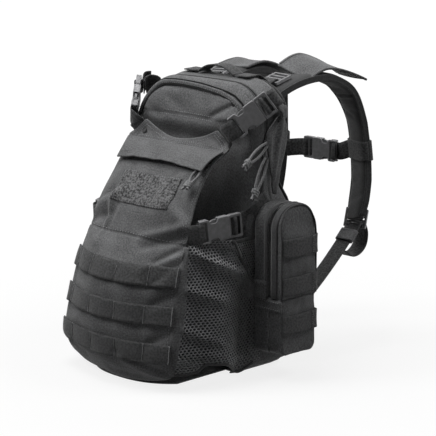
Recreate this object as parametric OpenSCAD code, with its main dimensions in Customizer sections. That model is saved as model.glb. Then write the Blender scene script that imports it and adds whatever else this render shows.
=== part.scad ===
// Trauma backpack: a main compartment that stands on its base, with a folding
// load flap in front, two side pouches and a padded harness behind.
// Millimetres. X is across the pack, +Y is the harness side, Z is up from the floor.

/* [Pack body] */
// Width of the main compartment
body_w = 240; // [220:1:260]
// Height of the main compartment
body_h = 393; // [370:1:430]
// Depth of the main compartment at the floor
body_d = 114; // [100:1:130]
// Thickness of the padded walls
wall = 4; // [3:0.5:6]
// Radius of the upper corners
top_r = 64; // [40:1:70]
// Radius of the lower corners
base_r = 26; // [14:1:32]
// Backward lean of the front panel, degrees
front_lean = 7; // [4:0.5:9]

/* [Front panel] */
// Depth of the domed front panel
panel_d = 22; // [16:1:30]
// Thickness of the front panel
panel_t = 4; // [3:0.5:6]
// Width of the main zip band
zip_w = 8; // [6:1:10]

/* [Load flap] */
// Width of the flap
flap_w = 200; // [190:1:206]
// Height of the flap at the middle of its scooped top
flap_h = 312; // [300:1:330]
// How far the flap's belly stands off the front panel
flap_reach = 129; // [100:1:140]
// Thickness of the flap
flap_t = 3.5; // [2.5:0.5:5]
// Height of the lugs beside the scoop
lug_h = 18; // [10:1:24]
// Spacing of the webbing rows
row_pitch = 49; // [42:1:52]
// Height of the lowest webbing row's middle
row_z = 52; // [45:1:58]
// Top of the mesh gussets
gusset_h = 184; // [150:1:188]

/* [Webbing and buckles] */
// Width of all webbing
web_w = 25; // [20:1:26]
// Thickness of all webbing
web_t = 1.6; // [1.2:0.1:2]
// Width of the side-release buckles
buckle_w = 32; // [30:1:36]
// Length of the female half
female_l = 42; // [38:1:46]
// Length of the male half behind the female one
male_l = 19; // [17:1:22]
// Thickness of the buckles
buckle_t = 9.5; // [8.5:0.5:11]
// Diameter of the cord pulls
cord_d = 3.6; // [3:0.2:4]

/* [Side pouches] */
// Width of a pouch along the pack's side
pouch_w = 71; // [60:1:74]
// Depth of a pouch out from the pack's side
pouch_d = 52; // [45:1:60]
// Height of a pouch
pouch_h = 201; // [190:1:205]
// Height of the pouch floor above the ground
pouch_z = 34; // [24:1:38]
// Height at which the pouch front folds
fold_z = 112; // [100:1:120]
// Thickness of the pouch walls
pouch_t = 3; // [2:0.5:4]
// Spacing of the webbing rows on a pouch
pouch_pitch = 52; // [45:1:56]

/* [Harness] */
// Width of a shoulder pad at the top
pad_w = 60; // [52:1:66]
// Thickness of a shoulder pad
pad_t = 14; // [10:1:16]
// Distance of the pads from the middle at the yoke
pad_x = 52; // [46:1:58]
// How much further apart the pads are at their lower ends
pad_spread = 32; // [20:1:36]
// How far the pads reach behind the back panel
pad_reach = 179; // [165:1:195]
// Turn of the pads about their own length towards the wearer, degrees
pad_turn = 25; // [0:1:28]

/* [Hidden] */
$fn = 48;
// seating gap between sewn pieces
seat = 0.35;
// thickness of the floor under the flap's space
floor_t = 4.6;
// front foot of the main compartment and plane of the back panel
foot_y = -7;
back_y = foot_y + body_d;
lean_k = tan(front_lean);
side_x = body_w / 2;
inset = 0.8;
// radius of the lower back edge
heel_r = 30;
// height of the front panel's lower edge, over the floor of the flap's space
panel_low = 6;
// stand-off of the flap from the front panel, by height: middle and edge
flap_k = flap_reach / 129;
flap_f = flap_h / 312;
stand_mid = [[0, 92], [12, 108], [28, 120], [50, 127], [100, 129], [150, 125], [176, 111], [192, 98],
  [230, 85], [268, 59], [290, 37.5], [312, 18], [331, 17]];
stand_edge = [[0, 74], [12, 86], [28, 97], [50, 102], [100, 100], [150, 93], [192, 80], [230, 69],
  [268, 50], [290, 35.5], [312, 17], [331, 17]];
half_width = [[0, 92], [28, 102], [50, 107], [100, 104], [150, 100], [190, 95], [210, 95], [235, 91],
  [268, 87], [290, 89], [312, 99], [331, 99]];
// how square the flap's cross-section is, by height
square_by = [[0, 2.2], [190, 2.2], [250, 4], [331, 4]];
// how much the flap's lower corners are drawn up
corner_up = 12;
flap_low = 5.4;
// webbing row offsets above the flap
row_lift = 1.3;
// thickness of the side wings
wing_t = 3.2;
// height of the lower buckles over the gussets
strap_clear = 19;
// buckle frames
upper_mid = skin(0.84, flap_f * 321, 6);
upper_to = [side_x + 7, foot_y + 70, body_h - 21];
strap_z = gusset_h + strap_clear;
lower_mid = skin(1, strap_z, 0) - [3.5, 1, 0];
lower_to = [side_x - 7, foot_y + 20, strap_z + 8];
upper_bar = 22;
lower_bar = 18;
male_x = female_l + 0.4;
// pouch outline
pouch_x = side_x + 3.2;
pouch_y1 = back_y - 0.5;
pouch_y0 = pouch_y1 - pouch_w;
pouch_yc = (pouch_y0 + pouch_y1) / 2;
tray_d = pouch_d * 0.48;
pouch_gap = 6;
front_d = pouch_d - tray_d - pouch_gap;
front_x = pouch_x + tray_d + pouch_gap;
// shoulder pad path, in the plane of Y and Z, as two cubic curves
yoke_z = body_h - 38;
pad_k = pad_reach / 210;
yoke_t = 4;
pad_a = [[yoke_t + 0.6, 2], [40 * pad_k, 30], [156 * pad_k, 47], [191 * pad_k, 1]];
pad_b = [[191 * pad_k, 1], [216 * pad_k, -32], [226 * pad_k, -130], [203 * pad_k, -182]];
sternum_t = 1.5;

// Curves and frames

function unit(v) = v / norm(v);
function mix(a, b, t) = a + (b - a) * t;
function place(tab, x, i = 0) = i >= len(tab) - 2 || x < tab[i + 1][0] ? i : place(tab, x, i + 1);
function slope(tab, i) = let (a = max(0, i - 1), b = min(len(tab) - 1, i + 1))
  (tab[b][1] - tab[a][1]) / (tab[b][0] - tab[a][0]);
function curve(tab, x) = let (i = place(tab, x), h = tab[i + 1][0] - tab[i][0],
  t = min(1, max(0, (x - tab[i][0]) / h)))
  (2 * t ^ 3 - 3 * t ^ 2 + 1) * tab[i][1] + (t ^ 3 - 2 * t ^ 2 + t) * slope(tab, i) * h
  + (3 * t ^ 2 - 2 * t ^ 3) * tab[i + 1][1] + (t ^ 3 - t ^ 2) * slope(tab, i + 1) * h;
function cubic(p, t) = (1 - t) ^ 3 * p[0] + 3 * t * (1 - t) ^ 2 * p[1] + 3 * t ^ 2 * (1 - t) * p[2]
  + t ^ 3 * p[3];
function axes(o, along, out) = let (x = unit(along), z = unit(out - (out * x) * x), y = cross(z, x))
  [[x[0], y[0], z[0], o[0]], [x[1], y[1], z[1], o[1]], [x[2], y[2], z[2], o[2]], [0, 0, 0, 1]];
function from(m, p) = [for (r = [0:2]) m[r][0] * p[0] + m[r][1] * p[1] + m[r][2] * p[2] + m[r][3]];
function panel_y(z) = foot_y + z * lean_k;
function flap_half(z) = flap_w / 200 * curve(half_width, z / flap_f);
// a point on the flap: a across from -1 to 1, z up, o out from the face
function skin(a, z, o) = o == 0 ?
  let (m = curve(stand_mid, z / flap_f), e = curve(stand_edge, z / flap_f))
  [flap_half(z) * a, panel_y(z) - flap_k * mix(m, e, pow(abs(a), curve(square_by, z / flap_f))), z]
  : skin(a, z, 0) + o * unit(cross(skin(min(1, a + 0.02), z, 0) - skin(max(-1, a - 0.02), z, 0),
    skin(a, z + 2, 0) - skin(a, z - 2, 0)));
function flap_foot(a) = flap_low + corner_up * pow(abs(a), 4);
function flap_top(a) = flap_f * 312 + (abs(a) < 0.71 ? lug_h * (a / 0.71) ^ 2
  : mix(lug_h, -4, (abs(a) - 0.71) / 0.29));
function upper_axes() = axes(upper_mid, upper_to - upper_mid, [0.71, -0.7, 0.07]);
function lower_axes() = axes(lower_mid, lower_to - lower_mid, [1, -0.2, 0]);
// a point on a shoulder pad's middle line; t runs 0 to 2 along both curves
function pad_yz(t) = t < 1 ? cubic(pad_a, t) : cubic(pad_b, min(1, t - 1));
function pad_c(t) = [pad_x + pad_spread * t / 2, back_y + pad_yz(t)[0], yoke_z + pad_yz(t)[1]];
function pad_dir(t) = unit(pad_c(min(2, t + 0.02)) - pad_c(max(0, t - 0.02)));
function pad_out(t) = let (d = pad_dir(t), n = unit([0, -d[2], d[1]]), q = min(1, max(0, (t - 0.6) / 0.8)),
  turn = pad_turn * q * q * (3 - 2 * q)) n * cos(turn) + cross(d, n) * sin(-turn);
function pad_half(t) = pad_w / 2 * (1 - 0.1 * t);
function pad_frame(t) = axes(pad_c(t), pad_dir(t), pad_out(t));

// Building blocks

// closed sheet between two grids of points; rows run across, columns run up
module sheet(outer, inner) {
  nu = len(outer);
  nv = len(outer[0]);
  b = nu * nv;
  pts = concat([for (r = outer) for (p = r) p], [for (r = inner) for (p = r) p]);
  faces = concat(
    [for (i = [0:nu - 2]) for (j = [0:nv - 2]) [i * nv + j, (i + 1) * nv + j + 1, (i + 1) * nv + j]],
    [for (i = [0:nu - 2]) for (j = [0:nv - 2]) [i * nv + j, i * nv + j + 1, (i + 1) * nv + j + 1]],
    [for (i = [0:nu - 2]) for (j = [0:nv - 2]) for (f = [[0, nv, nv + 1], [0, nv + 1, 1]])
      [for (k = f) b + i * nv + j + k]],
    [for (i = [0:nu - 2]) for (f = [[0, nv, b + nv], [0, b + nv, b]]) [for (k = f) k + i * nv]],
    [for (i = [0:nu - 2]) for (f = [[nv, 0, b], [nv, b, b + nv]]) [for (k = f) k + i * nv + nv - 1]],
    [for (j = [0:nv - 2]) for (f = [[1, 0, b], [1, b, b + 1]]) [for (k = f) k + j]],
    [for (j = [0:nv - 2]) for (f = [[0, 1, b + 1], [0, b + 1, b]]) [for (k = f) k + j + (nu - 1) * nv]]);
  polyhedron(pts, faces, convexity = 6);
}

// solid through a row of rings with the same number of points; opposite sides are split the same way,
// so that a thin twisted strap keeps its thickness
module loft(rings) {
  n = len(rings[0]);
  m = len(rings);
  faces = concat(
    [for (k = [0:m - 2]) for (i = [0:n - 1]) let (a = k * n + i, b = k * n + (i + 1) % n)
      i < n / 2 ? [a, b + n, b] : [a, a + n, b]],
    [for (k = [0:m - 2]) for (i = [0:n - 1]) let (a = k * n + i, b = k * n + (i + 1) % n)
      i < n / 2 ? [a, a + n, b + n] : [a + n, b + n, b]],
    [for (i = [1:n - 2]) [0, i, i + 1]],
    [for (i = [1:n - 2]) [(m - 1) * n, (m - 1) * n + i + 1, (m - 1) * n + i]]);
  polyhedron([for (r = rings) for (p = r) p], faces, convexity = 6);
}

function step(p, k) = unit(p[min(len(p) - 1, k + 1)] - p[max(0, k - 1)]);
function leg(p, k) = k < len(p) - 1 ? unit(p[k + 1] - p[k]) : unit(p[k] - p[k - 1]);

// flat strap along a path; wide is the direction of its width
module strap(path, wide, w = web_w, t = web_t) {
  loft([for (k = [0:len(path) - 1]) let (d = step(path, k), x = unit(wide[k] - (wide[k] * d) * d),
    n = cross(d, x), h = t / 2 / max(0.6, d * leg(path, k)))
    [path[k] + x * w / 2 + n * h, path[k] - x * w / 2 + n * h,
     path[k] - x * w / 2 - n * h, path[k] + x * w / 2 - n * h]]);
}

// round cord along a path
module cord(path, d = cord_d, n = 8) {
  loft([for (k = [0:len(path) - 1]) let (t = step(path, k), u = unit(cross(t, [0.83, 0.31, 0.46])),
    v = cross(t, u)) [for (i = [0:n - 1]) path[k] + d / 2 * (cos(360 * i / n) * u + sin(360 * i / n) * v)]]);
}

// outline of the main compartment, standing on the floor line
module outline(w, h, rt, rb) {
  translate([-w / 2, rb]) square([w, h - rt - rb]);
  translate([-w / 2 + rb, 0]) square([w - 2 * rb, rb + 1]);
  translate([-w / 2 + rt, h - rt - 1]) square([w - 2 * rt, rt + 1]);
  for (s = [-1, 1]) {
    translate([s * (w / 2 - rb), rb]) circle(rb);
    translate([s * (w / 2 - rt), h - rt]) circle(rt);
  }
}

// the outline drawn in by some amount, pushed along Y from one plane to another
module body_block(by, y0, y1) {
  translate([0, y1, by]) rotate([90, 0, 0]) linear_extrude(y1 - y0)
    outline(body_w - 2 * by, body_h - 2 * by, top_r - by, base_r - by);
}

// space behind the leaning front plane, between two depths
module behind(d0, d1) {
  translate([0, foot_y, 0]) rotate([-front_lean, 0, 0]) translate([-400, d0, -200]) cube([800, d1 - d0, 900]);
}

// low and high ends of an arched outline at x
function arch_low(x, w, rb) = abs(x) <= w / 2 - rb ? 0
  : rb - sqrt(max(0, rb ^ 2 - (abs(x) - w / 2 + rb) ^ 2));
function arch_high(x, w, h, rt) = abs(x) <= w / 2 - rt ? h
  : h - rt + sqrt(max(0, rt ^ 2 - (abs(x) - w / 2 + rt) ^ 2));
function dome(a, b) = pow(max(0, 1 - pow(abs(a), 6)), 0.5) * pow(max(0, 1 - pow(abs(b), 8)), 0.5);
// a row of the domed cover over an arched outline: [across, out, up]
function dome_grid(w, h, rt, rb, d, by, z0, nu, nv, open_low) =
  [for (i = [0:nu]) let (a = sin(90 * (2 * i / nu - 1)), x = a * (w / 2 - by),
    lo = max(z0, arch_low(x, w - 2 * by, rb) + (open_low ? 0 : by)), hi = arch_high(x, w - 2 * by, h - by, rt))
    [for (j = [0:nv]) let (b = open_low ? sin(90 * j / nv) : sin(90 * (2 * j / nv - 1)))
      [x, -max(0, (d - by)) * dome(a, b), mix(lo, hi, open_low ? b : (b + 1) / 2)]]];
// a soft pad on a plane, thick in the middle
module cushion(w, h, r, t0, t1, nu = 10, nv = 12) {
  cells = [for (i = [0:nu]) let (a = sin(90 * (2 * i / nu - 1)), x = a * w / 2)
    [for (j = [0:nv]) let (b = sin(90 * (2 * j / nv - 1)))
      [x, -t0 - (t1 - t0) * dome(a, b),
       mix(arch_low(x, w, r), arch_high(x, w, h, r), (b + 1) / 2)]]];
  sheet(cells, [for (r = cells) [for (p = r) [p[0], 0, p[2]]]]);
}

// Main compartment

module main_shell() color("#3b3d40") intersection() {
  difference() {
    body_block(0, foot_y - 20, back_y);
    body_block(wall, foot_y - 30, back_y - wall);
  }
  behind(panel_d + zip_w, 400);
  union() {
    translate([-side_x, foot_y - 60, -1]) cube([body_w, body_d + 60 - heel_r, body_h + 2]);
    translate([-side_x, foot_y - 60, heel_r]) cube([body_w, body_d + 61, body_h]);
    translate([-side_x, back_y - heel_r, heel_r]) rotate([0, 90, 0]) cylinder(r = heel_r, h = body_w);
  }
}

module zip_band(d0, d1) intersection() {
  difference() {
    body_block(inset, foot_y - 20, back_y);
    body_block(inset + 1.4, foot_y - 30, back_y + 10);
  }
  behind(d0, d1);
  translate([-side_x, foot_y - 60, panel_low + 1]) cube([body_w, body_d + 60, body_h]);
}

module main_zip_body_tape() color("#1f2022") zip_band(panel_d + zip_w / 2 + 0.3, panel_d + zip_w);

module main_zip_panel_tape() color("#1f2022") zip_band(panel_d, panel_d + zip_w / 2 - 0.3);

// shears the upright cover so that its rim lies in the leaning plane
function leaned(g, d) = [for (r = g) [for (p = r)
  [p[0], panel_y(p[2]) + d / cos(front_lean) + p[1], p[2]]]];

module front_panel() color("#45484c") {
  outer = dome_grid(body_w, body_h, top_r, base_r, panel_d, 0, panel_low, 18, 20, false);
  inner = dome_grid(body_w, body_h, top_r, base_r, panel_d, panel_t, panel_low + panel_t, 18, 20, false);
  sheet(leaned(outer, panel_d), leaned(inner, panel_d));
}

// floor of the flap's space, sewn to the front edge of the compartment's own floor
module flap_floor() color("#333538") {
  in = 0.88;
  x = flap_half(3) * in;
  y = foot_y + (panel_d + zip_w) / cos(front_lean) - seat;
  linear_extrude(floor_t) polygon(concat(
    [for (i = [-8:8]) let (s = skin(i / 8, 3, 0)) [s[0] * in, s[1] + 1.5 + 14 * pow(i / 8, 4)]],
    [[x, y], [-x, y]]));
}

module frame_sheet() color("#202124") translate([0, back_y - wall - seat, 0]) rotate([90, 0, 0])
  linear_extrude(2) translate([0, wall + 8]) outline(body_w - 44, body_h - 40, top_r - 12, base_r);

module inner_sleeve() color("#50545a") translate([0, back_y - wall - seat - 2.5, 0]) rotate([90, 0, 0])
  linear_extrude(2.5) translate([0, wall + 10]) outline(body_w - 56, body_h * 0.62, 14, 14);

module back_pads() color("#2b2c2f") for (s = [-1, 1]) translate([s * 54, back_y + seat, 66])
  rotate([0, 0, 180]) cushion(88, yoke_z - 100, 16, 3, 13);

module yoke() color("#3b3d40") translate([0, back_y + 0.2, yoke_z - 24]) rotate([90, 0, 180])
  linear_extrude(yoke_t) outline(2 * pad_x + pad_w + 16, 44, 8, 8);

module wing() {
  z1 = body_h - top_r;
  translate([side_x + seat, 0, 0]) rotate([90, 0, 90]) linear_extrude(wing_t)
    polygon([[back_y - 2, z1 + 2], [back_y - 22, z1 - 2], [back_y - 40, pouch_z + pouch_h + 8],
      [back_y - 20, pouch_z + pouch_h + 5], [back_y - 2, z1 - 44]]);
}

module side_wings() color("#3b3d40") for (s = [0, 1]) mirror([s, 0, 0]) wing();

module grab_handle() color("#1d1e20") {
  n = 12;
  path = [for (i = [0:n]) let (u = 2 * i / n - 1)
    [u * 34, back_y - 14, body_h + 1.2 + 11 * pow(max(0, 1 - pow(abs(u), 2.6)), 1.2)]];
  strap(path, [for (p = path) [0, 1, 0]], web_w - 4);
}

// Load flap and what is sewn to it

module patch(a0, a1, z0, z1, o0, o1, nu, nv) sheet(
  [for (i = [0:nu]) [for (j = [0:nv]) skin(mix(a0, a1, i / nu), mix(z0, z1, j / nv), o1)]],
  [for (i = [0:nu]) [for (j = [0:nv]) skin(mix(a0, a1, i / nu), mix(z0, z1, j / nv), o0)]]);

module load_flap() color("#3f4246") {
  nu = 18;
  nv = 22;
  g = [for (i = [0:nu]) let (a = 2 * i / nu - 1) [for (j = [0:nv])
    [a, mix(flap_foot(a), flap_top(a), pow(j / nv, 1.15))]]];
  sheet([for (r = g) [for (q = r) skin(q[0], q[1], 0)]],
    [for (r = g) [for (q = r) skin(q[0], q[1], 0) + [0, flap_t * 1.15, 0]]]);
}

module flap_webbing_rows() color("#26272a") for (r = [0:2]) {
  nu = 40;
  z = row_z + r * row_pitch;
  lift = [for (i = [0:nu]) seat + row_lift * pow(abs(sin(180 * 5 * i / nu)), 0.7)];
  at = function (i, s, o) skin(0.98 * (2 * i / nu - 1), z + s * web_w / 2, lift[i] + o);
  sheet([for (i = [0:nu]) [for (s = [-1:1]) at(i, s, web_t)]],
    [for (i = [0:nu]) [for (s = [-1:1]) at(i, s, 0)]]);
}

module loop_field() color("#17181a")
  patch(-0.64, 0.64, flap_f * 230, flap_f * 268, seat, seat + 1.8, 12, 5);

module front_zip_tape() color("#1a1b1d")
  patch(-0.94, 0.94, flap_f * 284, flap_f * 291, seat, seat + 0.9, 12, 2);

module storm_flap() color("#3f4246") {
  nu = 14;
  nv = 4;
  at = function (i, j, o) let (v = j / nv, a = mix(0.95, 0.98, v) * (2 * i / nu - 1))
    skin(a, flap_f * mix(281 - 5 * a * a, 304, v), mix(7.2, 1.7, v * v) + o);
  sheet([for (i = [0:nu]) [for (j = [0:nv]) at(i, j, 1.8)]], [for (i = [0:nu]) [for (j = [0:nv]) at(i, j, 0)]]);
}

// mesh at the side: from the flap's edge to the corner of the body, then back along the body
function gusset_at(u, z, o) = let (a = skin(1, z, 0) + [0.6, flap_t + 0.8, 0],
  c = [side_x + 1.5, panel_y(z) + 2, z], b = [side_x + 1.5, pouch_y0 + 14, z],
  k = (1 - pow(z / gusset_h, 2)) * 7, e = unit([c[1] - a[1], a[0] - c[0], 0]))
  (u < 0.7 ? mix(a, c, u / 0.7) + e * k * sin(180 * u / 0.7) + e * o : mix(c, b, (u - 0.7) / 0.3) + [o, 0, 0]);

function gusset_foot(u) = 6 + 12 * pow(1 - u, 2);

module gusset() sheet(
  [for (i = [0:14]) [for (j = [0:10]) gusset_at(i / 14, mix(gusset_foot(i / 14), gusset_h, j / 10), 0.9)]],
  [for (i = [0:14]) [for (j = [0:10]) gusset_at(i / 14, mix(gusset_foot(i / 14), gusset_h, j / 10), -0.9)]]);

module mesh_gusset_right() color("#2d3033") gusset();

module mesh_gusset_left() color("#2d3033") mirror([1, 0, 0]) gusset();

// Side-release buckles: x runs from the female's bar to the male's end, z is out

module slab(x0, x1, w, z0, z1) translate([x0, -w / 2, z0]) cube([x1 - x0, w, z1 - z0]);

module female() difference() {
  union() {
    slab(5, female_l, buckle_w, 0, buckle_t);
    slab(0, 11, buckle_w, 2, buckle_t - 2);
    translate([female_l - 4, 0, buckle_t - 0.6]) slab(0, 3, buckle_w - 8, 0, 1.2);
  }
  slab(4, 10, buckle_w - 6, -1, buckle_t + 1);
  slab(15, female_l + 1, buckle_w - 7, 2.1, buckle_t - 2.1);
  for (s = [-1, 1]) translate([female_l * 0.6, s * (buckle_w / 2 + 3), -1]) cylinder(r = 8.5, h = buckle_t + 3);
  slab(female_l - 6, female_l + 1, 8, buckle_t - 3, buckle_t + 2);
}

module male() {
  difference() {
    slab(male_x, male_x + male_l, buckle_w, 1.4, buckle_t - 1.4);
    slab(male_x + 3.6, male_x + 7.6, buckle_w - 6, 0, buckle_t);
    slab(male_x + 10.6, male_x + 14.8, buckle_w - 6, 0, buckle_t);
  }
  slab(18, male_x + 1, 3.6, 2.9, buckle_t - 2.9);
  for (s = [-1, 1]) {
    translate([0, s * (buckle_w / 2 - 6.4), 0]) slab(19, male_x + 1, 4.4, 2.6, buckle_t - 2.6);
    translate([female_l * 0.6, s * (buckle_w / 2 - 7.4), 2.6]) cylinder(r = 3.4, h = buckle_t - 5.2);
  }
}

module on(m) multmatrix(m) children();

module upper_female() on(upper_axes()) translate([upper_bar, 0, 0]) female();

module upper_male() on(upper_axes()) translate([upper_bar, 0, 0]) male();

module lower_female() on(lower_axes()) translate([lower_bar, 0, 0]) female();

module lower_male() on(lower_axes()) translate([lower_bar, 0, 0]) male();

module upper_female_right() color("#5a5d61") upper_female();

module upper_female_left() color("#5a5d61") mirror([1, 0, 0]) upper_female();

module lower_female_right() color("#5a5d61") lower_female();

module lower_female_left() color("#5a5d61") mirror([1, 0, 0]) lower_female();

module upper_male_right() color("#5a5d61") upper_male();

module upper_male_left() color("#5a5d61") mirror([1, 0, 0]) upper_male();

module lower_male_right() color("#5a5d61") lower_male();

module lower_male_left() color("#5a5d61") mirror([1, 0, 0]) lower_male();

// webbing round the female's bar, from a start on the flap
function bar_loop(m, x) = [for (p = [[x - 5, 8.6], [x + 3.6, 8.6], [x + 6.4, 7], [x + 6.4, 2.5],
  [x + 3.6, 0.9], [x - 2, 0.9]]) from(m, [p[0], 0, p[1] * buckle_t / 9.5])];
// webbing through the male's ladder bars, out under its end
function ladder_loop(m, x) = [for (p = [[x + 5.6, 1.6], [x + 5.6, 9], [x + 7.4, 10.8], [x + 10.8, 10.8],
  [x + 12.7, 9], [x + 12.7, 0.4], [x + 14.4, -1.4], [x + 21, -1.4]]) from(m, [p[0], 0, p[1] * buckle_t / 9.5])];
function across(m, n) = [for (i = [1:n]) [m[0][1], m[1][1], m[2][1]]];

module stubs() {
  u = upper_axes();
  strap(concat([skin(0.79, flap_f * 324, 5.6)], bar_loop(u, upper_bar)),
    concat([[-0.5, 0, 0.87]], across(u, 6)));
  l = lower_axes();
  strap(concat([for (a = [0.82, 0.88, 0.94, 1]) skin(a, strap_z, 4)], bar_loop(l, lower_bar)),
    concat([for (a = [0.82, 0.88, 0.94, 1]) skin(a, strap_z + 8, 0) - skin(a, strap_z - 8, 0)], across(l, 6)));
}

module strap_stubs() color("#26272a") for (s = [0, 1]) mirror([s, 0, 0]) stubs();

module upper_strap_webbing() color("#26272a") for (s = [0, 1]) mirror([s, 0, 0]) {
  u = upper_axes();
  x = side_x + seat + wing_t + seat + web_t / 2;
  z = body_h - top_r;
  path = concat(ladder_loop(u, upper_bar + male_x), [from(u, [upper_bar + male_x + 25, 0, -4]),
    [x + 2, back_y - 18, z + 20], [x, back_y - 14, z + 2], [x, back_y - 15, z - 24]]);
  strap(path, concat(across(u, 8), [[-0.6, 0.4, 0.5], [-0.3, 0.9, 0.2], [0, 1, 0], [0, 1, 0]]));
}

module lower_strap_webbing() color("#26272a") for (s = [0, 1]) mirror([s, 0, 0]) {
  l = lower_axes();
  end = [side_x + seat + web_t, foot_y + 48, lower_mid[2] + 24];
  path = concat(ladder_loop(l, lower_bar + male_x), [end + [0.6, -18, -11], end, end + [0, 20, 14]]);
  strap(path, concat(across(l, 8), [for (i = [1:3]) [0, -0.5, 0.86]]));
}

// Zip sliders and their cord pulls

slider_h = 3.6;

module slider() {
  translate([-4.5, -5.5, 0]) cube([9, 11, 2.4]);
  translate([-1.6, -4, 2]) cube([3.2, 8, slider_h - 2]);
}

module knot(m) on(m) {
  for (z = [0, 3.2]) translate([0, 0, z]) rotate_extrude() translate([2.3, 0]) circle(2);
  translate([0, 0, -1]) cylinder(r = 2.3, h = 5.2);
}

// two legs of cord from the slider's eye down to a knot
module pull(top, low, side) {
  d = unit(low - top);
  for (s = [-1, 1]) cord([for (i = [0:6]) let (t = i / 6)
    mix(top, low, t) + side * s * (1.95 + 1.8 * sin(180 * t))]);
  knot(axes(low + d * 1.5, side, d));
}

pull_a = 0.86;
function front_eye(o) = skin(pull_a, flap_f * 288, o);

module front_zip_slider() color("#55585c")
  on(axes(front_eye(seat + 1.5), [1, 0, 0], front_eye(3) - front_eye(0))) slider();

module front_zip_pull() color("#1b1c1e")
  pull(skin(pull_a, flap_f * 282.2, 3.4), skin(pull_a, flap_f * 262, 9), [1, 0, 0]);

zip_y = panel_d + zip_w / 2;
function side_eye(z, o) = [side_x + o, panel_y(z) + zip_y / cos(front_lean), z];

module main_slider(z) on(axes(side_eye(z, seat), [0, cos(front_lean), -sin(front_lean)], [1, 0, 0])) slider();

pull_o = seat + slider_h + 0.3 + cord_d / 2;
upper_z = body_h - top_r - 16;
lower_z = upper_z - 14;

module main_zip_slider_upper() color("#55585c") main_slider(upper_z);

module main_zip_slider_lower() color("#55585c") main_slider(lower_z);

module main_zip_pull_upper() color("#1b1c1e")
  pull(side_eye(upper_z, pull_o) + [0, -2, 1], side_eye(upper_z, pull_o + 3) + [0, -40, -19],
    unit([0, 0.45, -0.89]));

module main_zip_pull_lower() color("#1b1c1e")
  pull(side_eye(lower_z, pull_o) + [0, -1, -3], side_eye(lower_z, pull_o + 3) + [0, -28, -44],
    unit([0, 0.85, -0.52]));

// Side pouches

module pouch_outline(by) translate([pouch_yc, pouch_z + by])
  outline(pouch_w - 2 * by, pouch_h - 2 * by, 30 - by, 12 - by);

module pouch_tray() difference() {
  translate([pouch_x, 0, 0]) rotate([90, 0, 90]) linear_extrude(tray_d) pouch_outline(0);
  translate([pouch_x + pouch_t, 0, 0]) rotate([90, 0, 90]) linear_extrude(tray_d) pouch_outline(pouch_t);
}

module pouch_band(x0, x1, z0) intersection() {
  difference() {
    translate([x0, 0, 0]) rotate([90, 0, 90]) linear_extrude(x1 - x0) pouch_outline(inset);
    translate([x0 - 1, 0, 0]) rotate([90, 0, 90]) linear_extrude(x1 - x0 + 2) pouch_outline(inset + 1.4);
  }
  translate([x0 - 1, pouch_y0 - 1, z0]) cube([x1 - x0 + 2, pouch_w + 2, pouch_h]);
}

// cover points turned to face out of the pack's side
function sideways(g, x) = [for (r = g) [for (p = r) [x - p[1], pouch_yc + p[0], p[2]]]];

module pouch_cover() {
  z = fold_z + 0.5;
  h = pouch_z + pouch_h;
  sheet(sideways(dome_grid(pouch_w, h, 30, 2, front_d, 0, z, 10, 8, true), front_x),
    sideways(dome_grid(pouch_w, h, 30, 2, front_d, pouch_t, z, 10, 8, true), front_x));
}

// the fixed lower front: the cover's profile carried down to a rounded foot
function low_grid(by) = [for (i = [0:10]) let (a = sin(90 * (2 * i / 10 - 1)), x = a * (pouch_w / 2 - by),
  lo = pouch_z + by + arch_low(x, pouch_w - 2 * by, 12)) [for (j = [0:6]) let (b = 1 - sin(90 * j / 6))
  [x, -(front_d + pouch_gap - 0.2 - by) * dome(a, b), mix(lo, fold_z, 1 - b)]]];

module pouch_foot() sheet(sideways(low_grid(0), front_x - pouch_gap + 0.2),
  sideways(low_grid(pouch_t), front_x - pouch_gap + 0.2));

module pouch_row(z) {
  nu = 16;
  row = function (i, s, o) let (a = 1.76 * i / nu - 0.9)
    [front_x + front_d * dome(a, 0) + seat + o, pouch_yc + a * pouch_w / 2, z + s * web_w / 2];
  lift = [for (i = [0:nu]) row_lift * pow(abs(sin(180 * 2 * i / nu)), 0.7)];
  sheet([for (i = [0:nu]) [for (s = [-1:1]) row(i, s, lift[i] + web_t)]],
    [for (i = [0:nu]) [for (s = [-1:1]) row(i, s, lift[i])]]);
}

// pouch rows: the middle one sits just above the fold
row2_z = fold_z + web_w / 2 + 4.5;
row1_z = row2_z + pouch_pitch;
row3_z = row2_z - pouch_pitch;

module pouch_back_right() color("#3b3d40") pouch_tray();

module pouch_back_left() color("#3b3d40") mirror([1, 0, 0]) pouch_tray();

module pouch_lower_right() color("#3b3d40") pouch_foot();

module pouch_lower_left() color("#3b3d40") mirror([1, 0, 0]) pouch_foot();

module pouch_zip_tapes() color("#1f2022") for (s = [0, 1]) mirror([s, 0, 0])
  pouch_band(pouch_x + tray_d, pouch_x + tray_d + pouch_gap / 2 - 0.3, fold_z + 0.5);

module pouch_lower_webbing() color("#26272a") for (s = [0, 1]) mirror([s, 0, 0]) pouch_row(row3_z);

module pouch_front() {
  pouch_cover();
  pouch_band(front_x - pouch_gap / 2 + 0.3, front_x, fold_z + 0.8);
}

module pouch_front_right() color("#3f4246") pouch_front();

module pouch_front_left() color("#3f4246") mirror([1, 0, 0]) pouch_front();

module pouch_front_rows() for (z = [row1_z, row2_z]) pouch_row(z);

module pouch_front_webbing_right() color("#26272a") pouch_front_rows();

module pouch_front_webbing_left() color("#26272a") mirror([1, 0, 0]) pouch_front_rows();

module pouch_slider() on(axes([front_x - pouch_gap / 2, pouch_y1 + seat, fold_z + 16], [-1, 0, 0], [0, 1, 0]))
  slider();

module pouch_slider_right() color("#55585c") pouch_slider();

module pouch_slider_left() color("#55585c") mirror([1, 0, 0]) pouch_slider();

// Harness

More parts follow.
